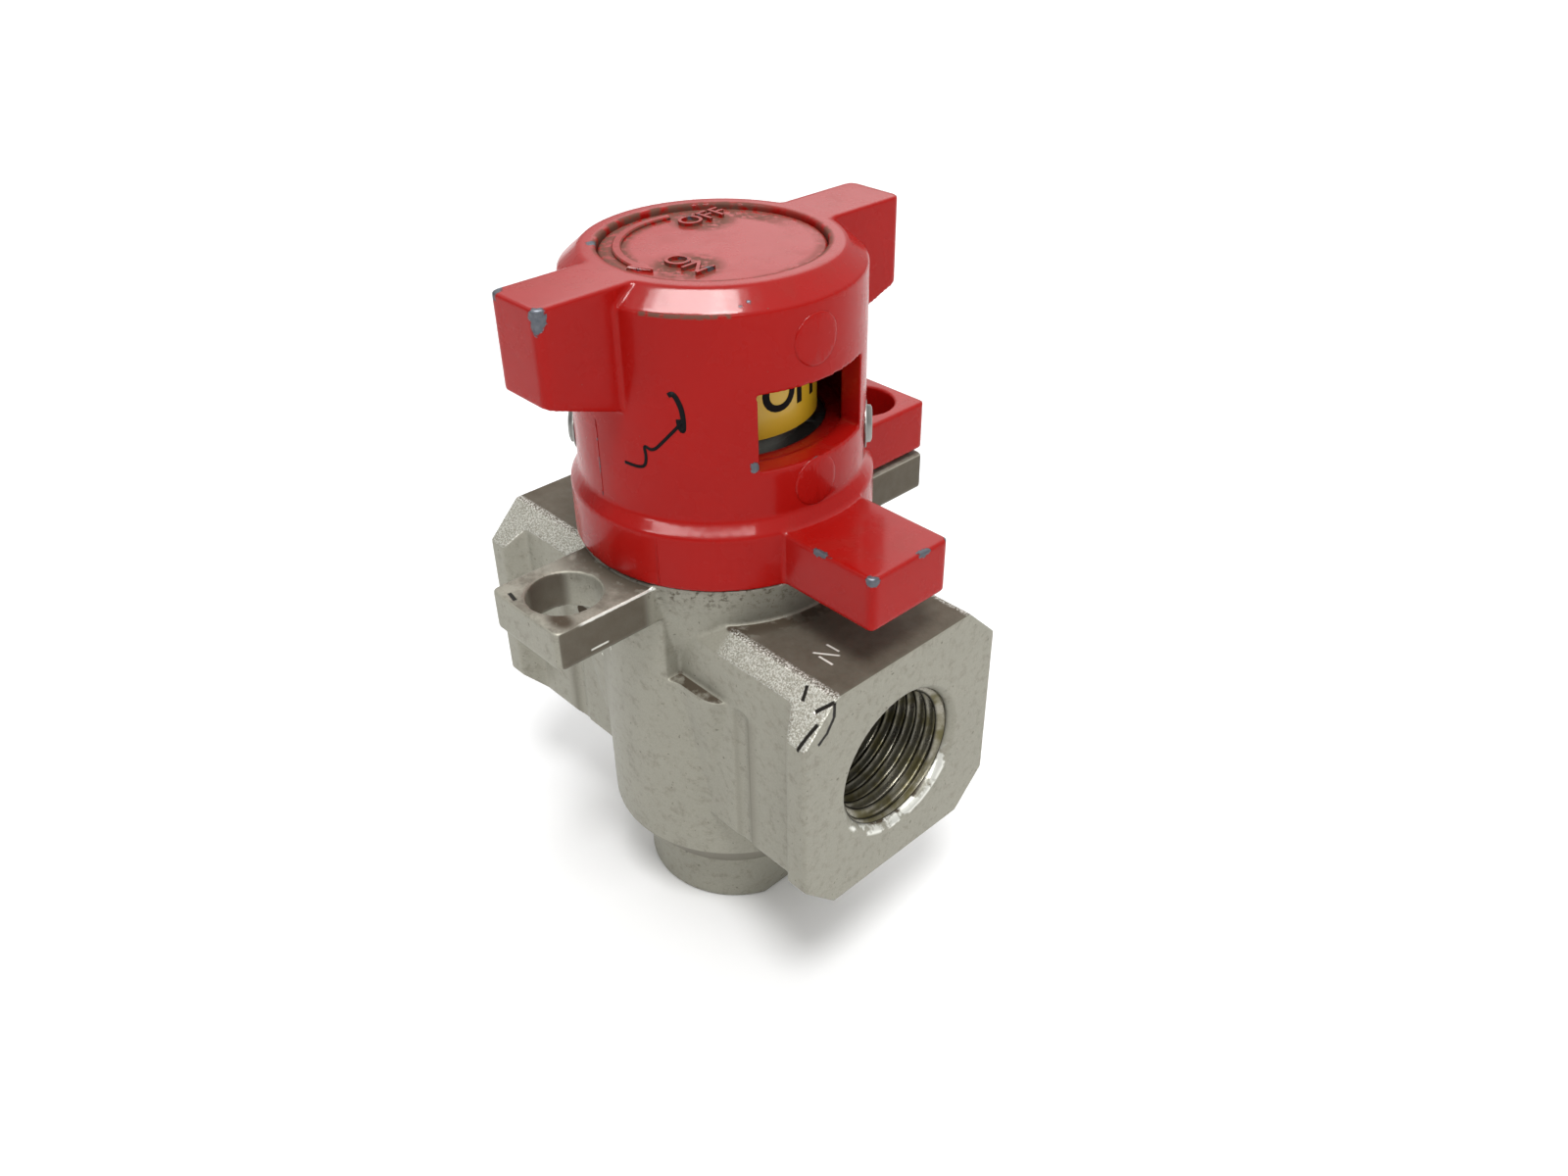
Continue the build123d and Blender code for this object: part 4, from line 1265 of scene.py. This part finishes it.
@dataclass
class Studio:
    """Pale floor, soft light and the camera."""

    azimuth: float = 46.92
    elevation: float = 33.93
    roll: float = -0.84
    distance: float = 185.2 * MM
    target: Vector = field(default_factory=lambda: Vector((6.2, 5.5, 50.3)) * MM)
    lens: float = 28.92
    low_sky: float = 0.38
    high_sky: float = 1.10
    shade: float = 0.55
    panel_distance: float = 0.6
    panel_run: Vector = field(default_factory=lambda: Vector((0.78, 0.62, 0.10)))

    def build(self) -> None:
        """Sets the stage."""
        self._floor()
        self._world()
        self._sun("key", -34.0, 68.0, 18.0, 1.55)
        self._sun("back_window", 133.0, 36.0, 40.0, 0.45)
        self._panel("high_panel", Vector((0.051, -0.264, 0.964)), (0.50, 0.11), 5.5)
        self._panel("low_panel", Vector((0.407, -0.748, 0.525)), (0.90, 0.05), 3.0)
        self._camera()

    def _floor(self) -> None:
        """A plain pale floor."""
        half = 3.0
        mesh = bpy.data.meshes.new("floor")
        corners = [(-half, -half, 0), (half, -half, 0), (half, half, 0), (-half, half, 0)]
        mesh.from_pydata(corners, [], [(0, 1, 2, 3)])
        floor = bpy.data.objects.new("floor", mesh)
        bpy.context.scene.collection.objects.link(floor)
        material = bpy.data.materials.new("pale_floor")
        material.use_nodes = True
        shader = material.node_tree.nodes["Principled BSDF"]
        shader.inputs["Base Color"].default_value = (0.92, 0.92, 0.92, 1.0)
        shader.inputs["Roughness"].default_value = 0.9
        shader.inputs["Specular IOR Level"].default_value = 0.1
        mesh.materials.append(material)

    def _world(self) -> None:
        """White surroundings, brighter overhead than at the horizon and dimmer towards -Y."""
        world = bpy.data.worlds.new("tent")
        world.use_nodes = True
        tree = world.node_tree
        back = tree.nodes["Background"]
        toward = tree.nodes.new("ShaderNodeTexCoord").outputs["Generated"]
        split = tree.nodes.new("ShaderNodeSeparateXYZ")
        tree.links.new(toward, split.inputs[0])
        product = tree.nodes.new("ShaderNodeMath")
        product.operation = "MULTIPLY"
        rise = ("Z", (0.0, 0.75, self.low_sky, self.high_sky))
        falloff = ("Y", (-0.9, -0.1, self.shade, 1.0))
        for factor, (letter, limits) in zip(product.inputs, (rise, falloff)):
            ramp = tree.nodes.new("ShaderNodeMapRange")
            tree.links.new(split.outputs[letter], ramp.inputs[0])
            for socket, value in zip(ramp.inputs[1:5], limits):
                socket.default_value = value
            tree.links.new(ramp.outputs[0], factor)
        tree.links.new(product.outputs[0], back.inputs["Strength"])
        back.inputs["Color"].default_value = (1.0, 1.0, 1.0, 1.0)
        bpy.context.scene.world = world
        bpy.context.scene.view_settings.view_transform = "Standard"

    @staticmethod
    def _sun(name: str, bearing: float, rise: float, spread: float, strength: float) -> None:
        """A distant soft light.

        Args:
            name: its name.
            bearing: where it stands about +Z, in degrees from +X.
            rise: its height above the horizon, in degrees.
            spread: its apparent width, in degrees.
            strength: its irradiance.
        """
        light = bpy.data.lights.new(name, "SUN")
        light.angle = math.radians(spread)
        light.energy = strength
        lamp = bpy.data.objects.new(name, light)
        a, e = math.radians(bearing), math.radians(rise)
        toward = Vector((math.cos(e) * math.cos(a), math.cos(e) * math.sin(a), math.sin(e)))
        lamp.rotation_euler = toward.to_track_quat("Z", "Y").to_euler()
        bpy.context.scene.collection.objects.link(lamp)

    def _panel(self, name: str, toward: Vector, size: tuple[float, float], power: float) -> None:
        """A long lamp panel that only shows as a highlight on glossy paint.

        Args:
            name: its name.
            toward: the way to the panel from the knob's crown.
            size: its length and its height.
            power: its output.
        """
        light = bpy.data.lights.new(name, "AREA")
        light.shape = "RECTANGLE"
        light.size, light.size_y = size
        light.energy = power
        lamp = bpy.data.objects.new(name, light)
        back = toward.normalized()
        side = (self.panel_run - back * self.panel_run.dot(back)).normalized()
        turn = Matrix((side, back.cross(side), back)).transposed().to_4x4()
        crown = Vector((10.0, -14.0, 101.0)) * MM
        lamp.matrix_world = Matrix.Translation(crown + back * self.panel_distance) @ turn
        lamp.visible_diffuse = False
        lamp.visible_camera = False
        bpy.context.scene.collection.objects.link(lamp)

    def _camera(self) -> None:
        """The camera, aimed at the valve from its front right."""
        bearing, rise = math.radians(self.azimuth), math.radians(self.elevation)
        level = Vector((math.sin(bearing), -math.cos(bearing), 0)) * math.cos(rise)
        back = level + Vector((0, 0, math.sin(rise)))
        data = bpy.data.cameras.new("camera")
        data.lens = self.lens
        data.sensor_width = 36.0
        data.clip_start = 0.01
        camera = bpy.data.objects.new("camera", data)
        roll = Matrix.Rotation(math.radians(self.roll), 4, "Z")
        turn = back.to_track_quat("Z", "Y").to_matrix().to_4x4() @ roll
        camera.matrix_world = Matrix.Translation(self.target + back * self.distance) @ turn
        bpy.context.scene.collection.objects.link(camera)
        bpy.context.scene.camera = camera


def main() -> None:
    """Builds the valve's looks in order."""
    logging.basicConfig(level=logging.INFO, format="%(message)s")
    for part in (Studio(), Body(), Knob(), Indicator(), Inside()):
        part.build()
        LOG.info("%s done", type(part).__name__)


if __name__ == "__main__":
    main()
